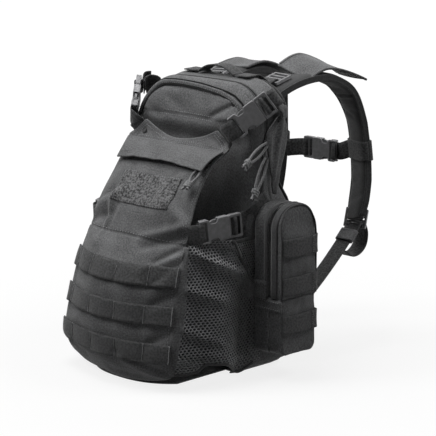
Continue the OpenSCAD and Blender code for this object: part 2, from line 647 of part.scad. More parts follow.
module pad() loft([for (k = [0:26]) let (t = 2 * k / 26, d = k == 0 ? [0, 1, 0] : pad_dir(t),
  n = k == 0 ? [0, 0, 1] : pad_out(t), x = cross(d, n),
  w = pad_half(t) * (k == 26 ? 0.8 : 1), h = pad_t / 2 * (k == 0 || k == 26 ? 0.7 : 1))
  [for (i = [0:13]) let (q = 360 * i / 14, c = cos(q), s = sin(q))
    pad_c(t) - x * w * sign(c) * pow(abs(c), 0.45) + n * h * sign(s) * pow(abs(s), 0.7)]]);

module shoulder_pad_right() color("#2f3134") pad();

module shoulder_pad_left() color("#2f3134") mirror([1, 0, 0]) pad();

// stiff panel: seated on the pad behind the upper lock, rising to a crest, its far end standing free
panel_seat = pad_t / 2 + seat + 1;
panel_foot = pad_c(0.43) + pad_out(0.43) * panel_seat;
panel_peak = pad_c(0.62) + pad_out(0.62) * (panel_seat + 12);
function panel_at(s) = s < 0.4 ? let (q = s / 0.4) [mix(panel_foot, panel_peak, q)[0],
  mix(panel_foot, panel_peak, q)[1], mix(panel_foot, panel_peak, sin(90 * q))[2]]
  : let (q = (s - 0.4) / 0.6) panel_peak + [8 * q, 84 * pad_k * q, -31 * pad_k * pow(q, 1.5)];

module strap_panels() color("#4a4d51") for (s = [0, 1]) mirror([s, 0, 0]) {
  path = [for (k = [0:14]) panel_at(k / 14)];
  strap(path, [for (p = path) [1, 0, 0]], pad_w - 4, 2);
}

module ladder_lock() difference() {
  slab(-14, 14, web_w + 8, 0, 4.6);
  slab(-10, -4, web_w + 1, -1, 6);
  slab(-1, 4, web_w + 1, -1, 6);
  slab(6.6, 11.4, web_w + 1, -1, 6);
}

function lifted(t, o) = axes(pad_c(t) + pad_out(t) * o, pad_dir(t), pad_out(t));
// frames of the upper and lower ladder-locks on a strap
lifter_m = lifted(0.27, pad_t / 2 + 0.9);
lock_m = axes(pad_c(2) - pad_dir(2) * 3 + pad_out(2) * (pad_t / 2 + 2), pad_dir(2), pad_out(2));

module ladder_locks() color("#8a8d90") for (s = [0, 1]) mirror([s, 0, 0]) {
  on(lifter_m) ladder_lock();
  on(lock_m) ladder_lock();
}

module load_lifter_webbing() color("#26272a") for (s = [0, 1]) mirror([s, 0, 0]) {
  x = pad_x - 2;
  path = [[x, back_y - 24, body_h + 1.2], [x, back_y + 0.8, body_h + 1.5], from(lifter_m, [-22, 0, 6.6]),
    from(lifter_m, [-9.4, 0, 6.6]), from(lifter_m, [-7.1, 0, 4.8]), from(lifter_m, [-7.1, 0, 0.8])];
  strap(path, [for (p = path) [1, 0, 0]]);
}

module sleeve() on(pad_frame(sternum_t)) difference() {
  w = 2 * pad_half(sternum_t);
  slab(-14, 14, w + 6, -pad_t / 2 - 2.6, pad_t / 2 + 2.6);
  slab(-15, 15, w + 2, -pad_t / 2 - 0.9, pad_t / 2 + 0.9);
}

module strap_sleeves() color("#26272a") for (s = [0, 1]) mirror([s, 0, 0]) sleeve();

sternum_c = pad_c(sternum_t) + [0, 2, -8];
sternum_end = from(pad_frame(sternum_t), [8, pad_half(sternum_t) + 5.6, 0]);
sternum_m = axes([33, sternum_c[1], sternum_c[2]], [-1, 0, 0], [0, 1, 0]);

module sternum_webbing() color("#26272a") {
  up = [for (i = [1:10]) [0, 0, 1]];
  strap(concat([sternum_end], bar_loop(sternum_m, 0)), up);
  strap(concat(ladder_loop(sternum_m, male_x), [[-sternum_end[0], sternum_end[1], sternum_end[2]]]), up);
}

module sternum_female() color("#5a5d61") on(sternum_m) female();

module sternum_male() color("#5a5d61") on(sternum_m) male();

// spare webbing: a loop that hangs from the lower lock, and a roll held on the strap below it
module webbing_tails() color("#26272a") for (s = [0, 1]) mirror([s, 0, 0]) {
  c = from(lock_m, [1.5, 0, 7.4]);
  path = concat([from(lock_m, [1.5, 0, 1]), c],
    [for (p = [[7, -8], [11, -22], [7, -38], [-6, -48], [-22, -49], [-34, -40]]) c + [0, p[0], p[1]]]);
  strap(path, [for (p = path) [1, 0, 0]]);
}

module shoulder_webbing() color("#26272a") for (s = [0, 1]) mirror([s, 0, 0]) {
  end = [side_x - 14, back_y + web_t, 58];
  b = from(lock_m, [10.5, 0, -5]);
  path = concat([from(lock_m, [8.8, 0, 4]), from(lock_m, [8.7, 0, -2])],
    [for (i = [0:7]) let (t = i / 8) mix(b, end, t) - [0, 0, 30 * t * (1 - t)]],
    [end + [0, 6, 3], end - [0, 0, 14]]);
  strap(path, [for (p = path) [1, 0, 0]]);
}

main_shell();
yoke();
flap_floor();
mesh_gusset_right();
mesh_gusset_left();
side_wings();
main_zip_body_tape();
frame_sheet();
inner_sleeve();
back_pads();
grab_handle();
upper_strap_webbing();
lower_strap_webbing();
load_lifter_webbing();
shoulder_webbing();
pouch_back_right();
pouch_back_left();
pouch_lower_right();
pouch_lower_left();
pouch_zip_tapes();
pouch_lower_webbing();
front_panel();
main_zip_panel_tape();
load_flap();
flap_webbing_rows();
loop_field();
front_zip_tape();
strap_stubs();
upper_female_right();
upper_female_left();
lower_female_right();
lower_female_left();
storm_flap();
front_zip_slider();
front_zip_pull();
main_zip_slider_upper();
main_zip_slider_lower();
main_zip_pull_upper();
main_zip_pull_lower();
upper_male_right();
upper_male_left();
lower_male_right();
lower_male_left();
pouch_front_right();
pouch_front_left();
pouch_front_webbing_right();
pouch_front_webbing_left();
pouch_slider_right();
pouch_slider_left();
shoulder_pad_right();
shoulder_pad_left();
strap_panels();
ladder_locks();
strap_sleeves();
sternum_webbing();
sternum_female();
webbing_tails();
sternum_male();
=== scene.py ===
import math

import bpy
import numpy as np
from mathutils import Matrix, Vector


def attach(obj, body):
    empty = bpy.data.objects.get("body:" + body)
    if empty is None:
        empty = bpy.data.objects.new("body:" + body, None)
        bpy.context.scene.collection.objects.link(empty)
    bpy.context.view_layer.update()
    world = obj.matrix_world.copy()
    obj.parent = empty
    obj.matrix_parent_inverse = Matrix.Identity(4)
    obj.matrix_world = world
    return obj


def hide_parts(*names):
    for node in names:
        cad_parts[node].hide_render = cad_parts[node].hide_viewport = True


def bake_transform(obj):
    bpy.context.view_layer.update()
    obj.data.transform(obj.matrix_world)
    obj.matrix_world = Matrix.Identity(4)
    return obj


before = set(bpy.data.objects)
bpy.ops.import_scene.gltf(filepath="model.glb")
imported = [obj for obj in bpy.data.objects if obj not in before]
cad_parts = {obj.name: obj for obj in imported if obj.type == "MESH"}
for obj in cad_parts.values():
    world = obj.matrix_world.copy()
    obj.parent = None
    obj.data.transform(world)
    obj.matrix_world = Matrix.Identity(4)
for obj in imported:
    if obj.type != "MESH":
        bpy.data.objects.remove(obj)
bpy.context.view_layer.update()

# The studio
# A pale floor, soft boxes overhead, high in front and behind, and the camera at the photograph's height
# and side. None of it belongs to the pack.
aim = np.array((0.0, 0.088, 0.190))
azimuth, elevation, distance = math.radians(45.5), math.radians(12.0), 2.5
towards_camera = np.array((math.sin(azimuth) * math.cos(elevation),
                           -math.cos(azimuth) * math.cos(elevation), math.sin(elevation)))
lens = bpy.data.cameras.new("camera")
lens.sensor_width = 36.0
lens.lens = 147.6
camera = bpy.data.objects.new("camera", lens)
camera.location = aim + towards_camera * distance
camera.rotation_mode = "QUATERNION"
camera.rotation_quaternion = Vector(-towards_camera).to_track_quat("-Z", "Y")
bpy.context.scene.collection.objects.link(camera)
bpy.context.scene.camera = camera
bpy.context.scene.view_settings.view_transform = "Standard"


def soft_box(name, place, at, size, power):
    """A square area lamp at place, turned to face at."""
    lamp = bpy.data.lights.new(name, "AREA")
    lamp.size = size
    lamp.energy = power
    obj = bpy.data.objects.new(name, lamp)
    obj.location = place
    obj.rotation_mode = "QUATERNION"
    obj.rotation_quaternion = (Vector(at) - Vector(place)).to_track_quat("-Z", "Y")
    bpy.context.scene.collection.objects.link(obj)


soft_box("light_overhead", (-0.3, -0.18, 1.95), (0, 0.0, 0.2), 1.0, 20)
soft_box("light_front", (-1.0, -1.2, 1.9), (0, 0, 0.2), 0.8, 19)
soft_box("light_behind", (0.9, 0.9, 1.6), (0, 0.1, 0.2), 0.8, 9)


def seen_or_mirrored(tree):
    """1 where the camera sees a surface itself, in a reflection or through glass; 0 where it only lights."""
    rays = tree.nodes.new("ShaderNodeLightPath")
    found = rays.outputs["Is Camera Ray"]
    for other in ("Is Glossy Ray", "Is Transmission Ray"):
        larger = tree.nodes.new("ShaderNodeMath")
        larger.operation = "MAXIMUM"
        tree.links.new(found, larger.inputs[0])
        tree.links.new(rays.outputs[other], larger.inputs[1])
        found = larger.outputs[0]
    return found


def wire(tree, node, inputs):
    """Sets a node's inputs: each socket, by name or number, takes a value or another node's output."""
    for socket, given in inputs.items():
        if isinstance(given, bpy.types.NodeSocket):
            tree.links.new(given, node.inputs[socket])
        else:
            node.inputs[socket].default_value = given
    return node


def shader(tree, kind, inputs, **settings):
    """A new shader node of a kind: its settings first, then its inputs."""
    node = tree.nodes.new("ShaderNode" + kind)
    for key, value in settings.items():
        setattr(node, key, value)
    return wire(tree, node, inputs)


def mixed(tree, share, first, second):
    """Two shaders mixed by a share."""
    return shader(tree, "MixShader", {0: share, 1: first.outputs[0], 2: second.outputs[0]})


white = (1, 1, 1, 1)
world = bpy.data.worlds.new("studio")
bpy.context.scene.world = world
world.use_nodes = True
sky = world.node_tree
sky.nodes.clear()
glow, backdrop = [shader(sky, "Background", {"Color": white, "Strength": s}) for s in (0.006, 1.0)]
shader(sky, "OutputWorld", {0: mixed(sky, seen_or_mirrored(sky), glow, backdrop).outputs[0]})

# the floor throws little light back; seen, it takes a faint shadow near the pack and is white further off
floor_paint = bpy.data.materials.new("pale_floor")
floor_paint.use_nodes = True
tree = floor_paint.node_tree
tree.nodes.clear()
matt, paper = [shader(tree, "BsdfDiffuse", {"Color": (c, c, c, 1)}) for c in (0.1, 0.9)]
lit = shader(tree, "Emission", {"Color": white, "Strength": 1.03})
spot = shader(tree, "TexCoord", {}).outputs["Object"]
away = shader(tree, "VectorMath", {0: spot}, operation="LENGTH").outputs["Value"]
fade = shader(tree, "MapRange", {0: away, "From Min": 0.2, "From Max": 0.9, "To Min": 0.8, "To Max": 1.0})
seen = mixed(tree, fade.outputs[0], paper, lit)
shader(tree, "OutputMaterial", {0: mixed(tree, seen_or_mirrored(tree), matt, seen).outputs[0]})
floor_mesh = bpy.data.meshes.new("floor")
floor_mesh.from_pydata([(-8, -8, 0), (8, -8, 0), (8, 8, 0), (-8, 8, 0)], [], [(0, 1, 2, 3)])
floor = bpy.data.objects.new("floor", floor_mesh)
floor_mesh.materials.append(floor_paint)
bpy.context.scene.collection.objects.link(floor)

# Cord pulls on the zips
# Each is a length of braided cord put double through the slider's eye and tied off in a knot
# with two short tails. Sizes here and below are in millimetres, as in the part's source.
front_lean = math.radians(7)
lean, upright = math.tan(front_lean), math.cos(front_lean)
both_sides = (("right", 1), ("left", -1))
foot_y, back_y, side_x, body_h = -7.0, 107.0, 120.0, 393.0
panel_d, zip_w = 22.0, 8.0
stand_mid = [(0, 92), (12, 108), (28, 120), (50, 127), (100, 129), (150, 125), (176, 111), (192, 98),
             (230, 85), (268, 59), (290, 37.5), (312, 18), (331, 17)]
stand_edge = [(0, 74), (12, 86), (28, 97), (50, 102), (100, 100), (150, 93), (192, 80), (230, 69),
              (268, 50), (290, 35.5), (312, 17), (331, 17)]
half_width = [(0, 92), (28, 102), (50, 107), (100, 104), (150, 100), (190, 95), (210, 95), (235, 91),
              (268, 87), (290, 89), (312, 99), (331, 99)]
square_by = [(0, 2.2), (190, 2.2), (250, 4), (331, 4)]


def along(table, x):
    """Smooth curve through rows of (place, value): cubic pieces whose slope at a row is that of the
    line between the rows on either side."""
    t = np.asarray(table, float)
    px, py = t[:, 0], t[:, 1]
    i = np.arange(len(px))
    lo, hi = np.maximum(i - 1, 0), np.minimum(i + 1, len(px) - 1)
    slope = (py[hi] - py[lo]) / (px[hi] - px[lo])
    x = np.asarray(x, float)
    k = np.clip(np.searchsorted(px, x, side="right") - 1, 0, len(px) - 2)
    h = px[k + 1] - px[k]
    s = np.clip((x - px[k]) / h, 0, 1)
    return ((2 * s ** 3 - 3 * s ** 2 + 1) * py[k] + (s ** 3 - 2 * s ** 2 + s) * slope[k] * h
            + (3 * s ** 2 - 2 * s ** 3) * py[k + 1] + (s ** 3 - s ** 2) * slope[k + 1] * h)


def points(x, y, z):
    """Points from their coordinates, any of which may be one value for all."""
    return np.stack(np.broadcast_arrays(x, y, z), -1)


def panel_y(z):
    """The leaning front plane: its Y at a height."""
    return foot_y + z * lean


def unit(v):
    """Vectors of length one."""
    return v / np.maximum(np.linalg.norm(v, axis=-1, keepdims=True), 1e-9)


def flap_skin(a, z, out=0.0):
    """A point on the flap: a runs across from -1 to 1, z is the height. The stand-off is mixed from the
    middle's to the edge's by a power of a, and out moves the point along the face's own normal."""
    def at(a, z):
        m, e = along(stand_mid, z), along(stand_edge, z)
        q = np.abs(a) ** along(square_by, z)
        return points(along(half_width, z) * a, panel_y(z) - m - (e - m) * q, z + 0 * a)
    a, z = np.broadcast_arrays(np.asarray(a, float), np.asarray(z, float))
    across = at(np.minimum(1, a + 0.02), z) - at(np.maximum(-1, a - 0.02), z)
    up = at(a, z + 2) - at(a, z - 2)
    return at(a, z) + np.asarray(out)[..., None] * unit(np.cross(across, up))


def new_piece(name, verts, faces, finish, uv=None, smooth=True):
    """A mesh object from points in millimetres; uv, in millimetres too, becomes metres on the cloth."""
    mesh = bpy.data.meshes.new(name)
    mesh.from_pydata((np.asarray(verts, float) / 1000).tolist(), [], [list(f) for f in faces])
    if uv is not None:
        layer = mesh.uv_layers.new(name="cloth")
        order = np.zeros(len(mesh.loops), np.int32)
        mesh.loops.foreach_get("vertex_index", order)
        layer.data.foreach_set("uv", (np.asarray(uv, np.float32)[order] / 1000).ravel())
    mesh.polygons.foreach_set("use_smooth", np.full(len(mesh.polygons), smooth))
    mesh.materials.append(finish)
    mesh.update()
    obj = bpy.data.objects.new(name, mesh)
    bpy.context.scene.collection.objects.link(obj)
    return obj


def fit(obj, body, node=None):
    """Puts a piece on its body, in place of a CAD node where one is named."""
    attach(obj, body)
    if node:
        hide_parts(node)
    return obj


def grid_faces(nu, nv, wrap_u=False, wrap_v=False):
    """Quads between the rows and columns of a grid, closed round on itself where asked."""
    i = np.arange(nu if wrap_u else nu - 1)[:, None]
    j = np.arange(nv if wrap_v else nv - 1)[None, :]
    k, m = (i + 1) % nu, (j + 1) % nv
    return np.stack(np.broadcast_arrays(i * nv + j, k * nv + j, k * nv + m, i * nv + m), -1).reshape(-1, 4)


def measured(path):
    """How far along a path each of its points lies."""
    return np.concatenate([[0], np.cumsum(np.linalg.norm(np.diff(path, axis=0), axis=-1))])


def run_length(grid, axis):
    """Mean length along one side of a grid, added up from its first row."""
    step = np.linalg.norm(np.diff(grid, axis=axis), axis=-1).mean(1 - axis)
    return np.concatenate([[0], np.cumsum(step)])


def cloth_uv(grid):
    """Flat position of each grid point: mean run along either side, in millimetres."""
    u, v = run_length(grid, 0), run_length(grid, 1)
    return np.stack(np.meshgrid(u, v, indexing="ij"), -1).reshape(-1, 2)


def effect_group(name, inputs, outputs):
    """An empty shader group with named sockets; returns it with its input and output nodes."""
    group = bpy.data.node_groups.new(name, "ShaderNodeTree")
    for label, kind, value in inputs:
        socket = group.interface.new_socket(name=label, in_out="INPUT", socket_type=kind)
        if value is not None:
            socket.default_value = value
    for label, kind in outputs:
        group.interface.new_socket(name=label, in_out="OUTPUT", socket_type=kind)
    return group, group.nodes.new("NodeGroupInput"), group.nodes.new("NodeGroupOutput")


def maths(tree, operation, first, second=0.0):
    """A Math node's result; first and second are sockets or plain numbers."""
    return shader(tree, "Math", {0: first, 1: second}, operation=operation).outputs[0]


def noise(tree, spot, scale, **more):
    """A noise texture's value at a spot."""
    return shader(tree, "TexNoise", {"Vector": spot, "Scale": scale, **more}).outputs["Fac"]


def weave_group(name, count, value):
    """A group for a weave: from a place on the cloth to its height and its cloudiness."""
    group, given, result = effect_group(
        name, [("Place", "NodeSocketVector", None), (count, "NodeSocketFloat", value)],
        [("Height", "NodeSocketFloat"), ("Cloud", "NodeSocketFloat")])
    return group, given.outputs["Place"], given.outputs[count], result


# thread: crossed yarns of one pitch, as two sine waves multiplied, with slubs in them, and a slow and a
# fine cloudiness
thread, spot, yarns, result = weave_group("crossed_thread", "Yarns per metre", 900.0)
split = shader(thread, "SeparateXYZ", {0: spot}).outputs
turns = maths(thread, "MULTIPLY", yarns, 2 * math.pi)
warp, weft = [maths(thread, "SINE", maths(thread, "MULTIPLY", split[k], turns)) for k in "XY"]
slow = noise(thread, spot, 28.0, Detail=3.0)
fine = noise(thread, spot, 420.0, Detail=3.0, Roughness=0.65)
cloud = maths(thread, "ADD", maths(thread, "MULTIPLY", slow, 0.35), maths(thread, "MULTIPLY", fine, 0.65))
slub = maths(thread, "MULTIPLY", maths(thread, "SUBTRACT", fine, 0.5), 3.0)
crossed = maths(thread, "MULTIPLY", maths(thread, "MULTIPLY", warp, weft), 0.5)
wire(thread, result, {"Cloud": cloud, "Height": maths(thread, "ADD", crossed, slub)})

# ribs: a webbing's weave, short floats that step sideways from one cord of warp to the next
ribs, spot, floats, result = weave_group("webbing_ribs", "Floats per metre", 620.0)
split = shader(ribs, "SeparateXYZ", {0: spot}).outputs
lane = maths(ribs, "MULTIPLY", split["Y"], 640.0)
stepped = maths(ribs, "MULTIPLY", maths(ribs, "FLOOR", lane), 0.5)
run = maths(ribs, "ADD", maths(ribs, "MULTIPLY", split["X"], floats), stepped)
float_wave, lane_wave = [maths(ribs, "ABSOLUTE", maths(ribs, "SINE", maths(ribs, "MULTIPLY", v, math.pi)))
                         for v in (run, lane)]
cloud = noise(ribs, spot, 330.0, Detail=4.0)
wire(ribs, result, {"Cloud": cloud, "Height": maths(ribs, "MULTIPLY", float_wave, lane_wave)})


def surface(name):
    """A new material, with its tree and its surface shader."""
    mat = bpy.data.materials.new(name)
    mat.use_nodes = True
    return mat, mat.node_tree, mat.node_tree.nodes["Principled BSDF"]


def ramp(tree, value, *stops):
    """A colour picked by a value between two stops, each a position and a colour."""
    node = shader(tree, "ValToRGB", {0: value})
    for stop, (at, *colour) in zip(node.color_ramp.elements, stops):
        stop.position = at
        stop.color = (*colour, 1)
    return node.outputs[0]


cool = np.array((1.0, 1.01, 1.03))


def woven_finish(name, group, dark, light, rough=0.72, sheen=0.25, depth=0.00012, per_metre=None, place="UV"):
    """A cloth material: group gives the weave's height and its cloudiness, which picks a tone between dark
    and light and the roughness; the height also paints light on the yarns' crowns and shade between them."""
    mat, tree, body = surface(name)
    spot = shader(tree, "TexCoord", {}).outputs[place]
    weave = shader(tree, "Group", {"Place": spot}, node_tree=group)
    if per_metre:
        weave.inputs[1].default_value = per_metre
    cloud, height = weave.outputs["Cloud"], weave.outputs["Height"]
    tone = ramp(tree, cloud, (0.38, *cool * dark), (0.62, *cool * light))
    # painted light and shade: the yarns' crowns are painted a little paler and the gaps between them darker
    share = shader(tree, "MapRange", {0: height, "From Min": -1.0, "To Min": 0.55, "To Max": 1.25})
    crown = shader(tree, "Mix", {0: 0.35, 6: tone, 7: share.outputs[0]}, data_type="RGBA",
                   blend_type="MULTIPLY")
    gloss = shader(tree, "MapRange", {0: cloud, "To Min": rough + 0.1, "To Max": rough - 0.1})
    dent = shader(tree, "Bump", {"Strength": 0.5, "Distance": depth, "Height": height})
    wire(tree, body, {"Base Color": crown.outputs[2], "Roughness": gloss.outputs[0],
                      "Normal": dent.outputs[0], "Sheen Weight": sheen, "Sheen Roughness": 0.45,
                      "Specular IOR Level": 0.3})
    return mat


cord_finish = woven_finish("braided_cord", thread, 0.18, 0.34, rough=0.6, sheen=0.35, depth=0.0003,
                           per_metre=620)
cord_r = 1.8


def tube(name, path, radius, sides, finish):
    """A round tube on a path: rings of points in the plane across the path's direction, with closed ends."""
    path = np.asarray(path, float)
    d = unit(np.gradient(path, axis=0))
    first = unit(np.cross(d, (0.83, 0.31, 0.46)))
    second = np.cross(d, first)
    q = np.linspace(0, 2 * np.pi, sides, endpoint=False)
    radius = np.broadcast_to(radius, len(path))
    rings = path[:, None] + radius[:, None, None] * (np.cos(q)[None, :, None] * first[:, None]
                                                    + np.sin(q)[None, :, None] * second[:, None])
    n = len(path)
    verts = np.concatenate([rings.reshape(-1, 3), path[:1], path[-1:]])
    s = np.arange(sides)
    caps = np.concatenate([np.stack([(s + 1) % sides, s, np.full(sides, n * sides)], -1),
                           np.stack([(n - 1) * sides + s, (n - 1) * sides + (s + 1) % sides,
                                     np.full(sides, n * sides + 1)], -1)])
    run = measured(path)
    uv = np.stack(np.broadcast_arrays(run[:, None], (radius[:, None] * q[None, :])), -1).reshape(-1, 2)
    uv = np.concatenate([uv, [[0, 0]], [[run[-1], 0]]])
    return new_piece(name, verts, grid_faces(n, sides, wrap_v=True).tolist() + caps.tolist(), finish, uv)


def side_eye(z, out):
    """Where a main zip slider's eye is, at a height."""
    return np.array((side_x + out, panel_y(z) + (panel_d + zip_w / 2) / upright, z))


front_top, front_low = flap_skin(0.86, 282.2, 3.4), flap_skin(0.86, 262.0, 9.0)
pulls = {
    "front_zip_pull": ("front_pull", front_top, front_low, (1, 0, 0)),
    "main_zip_pull_upper": ("main_pull_upper", side_eye(313, 6.05) + (0, -2, 1),
                            side_eye(313, 9.05) + (0, -40, -19), (0, 0.45, -0.89)),
    "main_zip_pull_lower": ("main_pull_lower", side_eye(299, 6.05) + (0, -1, -3),
                            side_eye(299, 12.0) + (0, -28, -44), (0, 0.85, -0.52)),
}
for node, (body, top, low, side) in pulls.items():
    side = unit(np.array(side, float))
    d = unit(low - top)
    face = np.cross(d, side)
    t = np.linspace(0, 1, 16)[:, None]
    tail = np.linspace(0.15, 1, 7)[:, None]
    turn = np.linspace(0, 2 * np.pi * 2.4, 72)[:, None]
    coil = (low + d * (-1.0 + 7.4 * turn / turn[-1]) + 4.3 * np.cos(turn) * side
            + 3.3 * np.sin(turn) * face + d * 1.4 * np.sin(turn + 0.6))
    knot = tube(node + "_knot", coil, cord_r * 1.1, 10, cord_finish)
    fit(knot, body, node)
    for s, leg in ((-1, "a"), (1, "b")):
        reach = 14 if leg == "a" else 11.5
        line = np.concatenate([top + (low - top) * t + side * s * (1.95 + 3.4 * np.sin(np.pi * t)), low
                               + d * reach * tail + side * s * (1.95 + 2.6 * tail ** 2) + face * 1.4 * tail])
        strand = tube(f"{node}_{leg}", line, cord_r, 12, cord_finish)
        fit(strand, body)

# Main compartment
# A tube of coated nylon with a back panel and an open front, sewn up along bound edges.
# Its sides and top give a little between the seams.
pack_cloth = woven_finish("pack_cloth", thread, 0.064, 0.195, rough=0.68, sheen=0.25, depth=0.0002)
lining_cloth = woven_finish("lining_cloth", thread, 0.05, 0.07, rough=0.8, sheen=0.1)
top_r, base_r, heel_r = 64.0, 26.0, 30.0


def at_run(s, run, path):
    """Points of a measured path at distances s along it."""
    return np.stack([np.interp(s, run, column) for column in path.T], -1)


def even(line, count=48):
    """A line with its points spaced evenly."""
    run = measured(line)
    return at_run(np.linspace(0, run[-1], count), run, line)


def arch(count, off=0.0, w=2 * side_x, h=body_h, rt=top_r, rb=base_r):
    """Points round an arched outline, evenly spaced from the middle of its foot and back: two lines and
    two arcs a side. Off draws it in."""
    hw, lo, hi, rt, rb = w / 2 - off, off, h - off, rt - off, max(rb - off, 0.5)
    q = np.linspace(0, np.pi / 2, 24)
    half = np.concatenate([[[0, lo]], np.stack([hw - rb + rb * np.sin(q), lo + rb - rb * np.cos(q)], -1),
                           np.stack([hw - rt + rt * np.cos(q), hi - rt + rt * np.sin(q)], -1), [[0, hi]]])
    loop = np.concatenate([half, (half * (-1, 1))[::-1][1:]])
    return even(loop, count)


def waves(p, q, rows):
    """Sum of sine waves over two flat directions: a row is (height, turns along p, along q, start)."""
    return sum(h * np.sin(2 * np.pi * (a * p + b * q) + c) for h, a, b, c in rows)


def settle(p):
    """The pack's top sags at the front: points high up and forward of the back come down, the corners
    most. Both ways the fall eases in as a smooth step."""
    p = np.array(p, float)
    high = np.clip((p[..., 2] - 285) / 100, 0, 1)
    ahead = np.clip((97 - p[..., 1]) / 28, 0, 1)
    fall = ((3.5 + 5 * np.abs(p[..., 0] / side_x) ** 2.2)
            * (3 - 2 * high) * high ** 2 * (3 - 2 * ahead) * ahead ** 2)
    p[..., 2] -= fall
    return p


def draw_in(p):
    """Above the pouches the straps draw the back corners in: up to 22 mm towards the middle, easing off
    forwards, upwards, downwards and inwards."""
    p = np.array(p, float)
    drawn = (np.clip((p[..., 1] - 62) / 45, 0, 1) * np.clip((p[..., 2] - 228) / 26, 0, 1)
             * np.clip((352 - p[..., 2]) / 30, 0, 1))
    p[..., 0] -= 22 * drawn * np.sign(p[..., 0]) * np.clip((np.abs(p[..., 0]) - 60) / 50, 0, 1)
    return p


def thicken(obj, depth, offset=-1.0):
    """Gives a sheet its thickness, inwards by default."""
    solid = obj.modifiers.new("thickness", "SOLIDIFY")
    solid.thickness = depth / 1000
    solid.offset = offset
    solid.use_even_offset = False
    return obj


def grid_piece(name, g, finish, depth, offset=-1.0, faces=None):
    """A cloth from a grid of points, with its flat position for the weave and its thickness."""
    faces = grid_faces(*g.shape[:2]) if faces is None else faces
    return thicken(new_piece(name, g.reshape(-1, 3), faces, finish, cloth_uv(g)), depth, offset)


rim_n, edge_r = 161, 11.0
rim = arch(rim_n)
front_edge = panel_y(rim[:, 1]) + (panel_d + zip_w) / upright
wall_t = np.linspace(0, 1, 26)
rows = [points(rim[:, 0], front_edge + (back_y - edge_r - front_edge) * t, rim[:, 1]) for t in wall_t]
turn = np.linspace(0, np.pi / 2, 7)[1:]
rows += [arch(rim_n, edge_r * (1 - math.cos(q))) @ np.array([[1, 0, 0], [0, 0, 1.0]])
         + (0, back_y - edge_r * (1 - math.sin(q)), 0) for q in turn]
inner = arch(rim_n, edge_r)
middle = body_h * 0.5
rows += [points(inner[:, 0] * k, back_y, middle + (inner[:, 1] - middle) * k)
         for k in (0.9, 0.75, 0.5, 0.25, 0.001)]
shell = np.array(rows)
over = np.clip(shell[..., 1] - (back_y - heel_r), 0, heel_r)
heel = heel_r - np.sqrt(np.maximum(heel_r ** 2 - over ** 2, 0))
shell[..., 2] = np.maximum(shell[..., 2], heel * np.clip(1 - shell[..., 2] / 60, 0, 1))
give = np.clip((shell[..., 2] - 20) / 60, 0, 1) * np.clip((back_y - 4 - shell[..., 1]) / 12, 0, 1)
give = give * np.clip((shell[..., 1] - front_edge[None, :]) / 8, 0, 1)
puff = waves(shell[..., 1] / 60, shell[..., 2] / 110,
             [(0.9, 1, 0.6, 0.4), (0.6, 1.7, -1.3, 2.0), (0.4, 0.5, 3.1, 1.0)])
shell += (give * puff)[..., None] * points(np.sign(shell[..., 0]) * np.clip(np.abs(shell[..., 0]) / 60, 0, 1),
                                           0 * give, np.clip((shell[..., 2] - 330) / 60, 0, 1))
shell = settle(draw_in(shell))
main_body = grid_piece("compartment_shell", shell, pack_cloth, 3.6)
fit(main_body, "pack", "main_shell")


def ribbon(name, path, wide, width, thick, finish, steps=4, across=5, bow=0.0):
    """A flat strap: a smooth line through path, and a few points across along wide, bowed outwards in
    the middle. Its flat size is its run by its width."""
    path, wide = np.asarray(path, float), np.broadcast_to(np.asarray(wide, float), (len(path), 3))
    run = measured(path)
    count = steps * (len(path) - 1) + 1
    s = np.interp(np.linspace(0, len(path) - 1, count), np.arange(len(path)), run)
    line = np.stack([along(np.c_[run, path[:, k]], s) for k in range(3)], -1)
    turn = at_run(s, run, wide)
    d = unit(np.gradient(line, axis=0))
    x = unit(turn - (turn * d).sum(-1, keepdims=True) * d)
    n = np.cross(d, x)
    w = np.linspace(-0.5, 0.5, across)
    width = np.broadcast_to(width, len(s))
    g = (line[:, None] + x[:, None] * (w[None, :] * width[:, None])[..., None]
         + n[:, None] * (bow * (1 - 4 * w ** 2))[None, :, None])
    uv = np.stack(np.broadcast_arrays(s[:, None], w[None, :] * width[:, None]), -1).reshape(-1, 2)
    obj = new_piece(name, g.reshape(-1, 3), grid_faces(len(s), across), finish, uv)
    return thicken(obj, thick, 0.0)


def grains(runs):
    """Stitches as small eight-sided grains: each run is (path, outward direction, pitch, length, width).
    The path is measured off at the pitch, and every grain lies along it."""
    verts, count = [], 0
    for path, out, pitch, long, wide in runs:
        path, out = np.asarray(path, float), np.broadcast_to(np.asarray(out, float), np.shape(path))
        run = measured(path)
        s = np.arange(pitch / 2, run[-1], pitch)
        c = at_run(s, run, path)
        t = unit(at_run(s + 0.2, run, path) - at_run(s - 0.2, run, path))
        n = unit(at_run(s, run, out))
        b = np.cross(t, n)
        corner = np.stack([c - t * long / 2, c + b * wide / 2, c + t * long / 2, c - b * wide / 2,
                           c + n * wide * 0.6, c - n * wide * 0.6], 1)
        verts.append(corner.reshape(-1, 3))
        count += len(s)
    one = np.array([(0, 1, 4), (1, 2, 4), (2, 3, 4), (3, 0, 4), (1, 0, 5), (2, 1, 5), (3, 2, 5), (0, 3, 5)])
    return np.concatenate(verts), (one[None] + 6 * np.arange(count)[:, None, None]).reshape(-1, 3)


plain_stitch = (4.0, 2.9, 0.85)
thread_finish = woven_finish("sewing_thread", thread, 0.3, 0.46, rough=0.6, sheen=0.3, place="Object")


def sew(name, runs, body):
    """All the visible stitches of one body as one piece."""
    obj = new_piece(name, *grains(runs), thread_finish, smooth=False)
    return fit(obj, body)


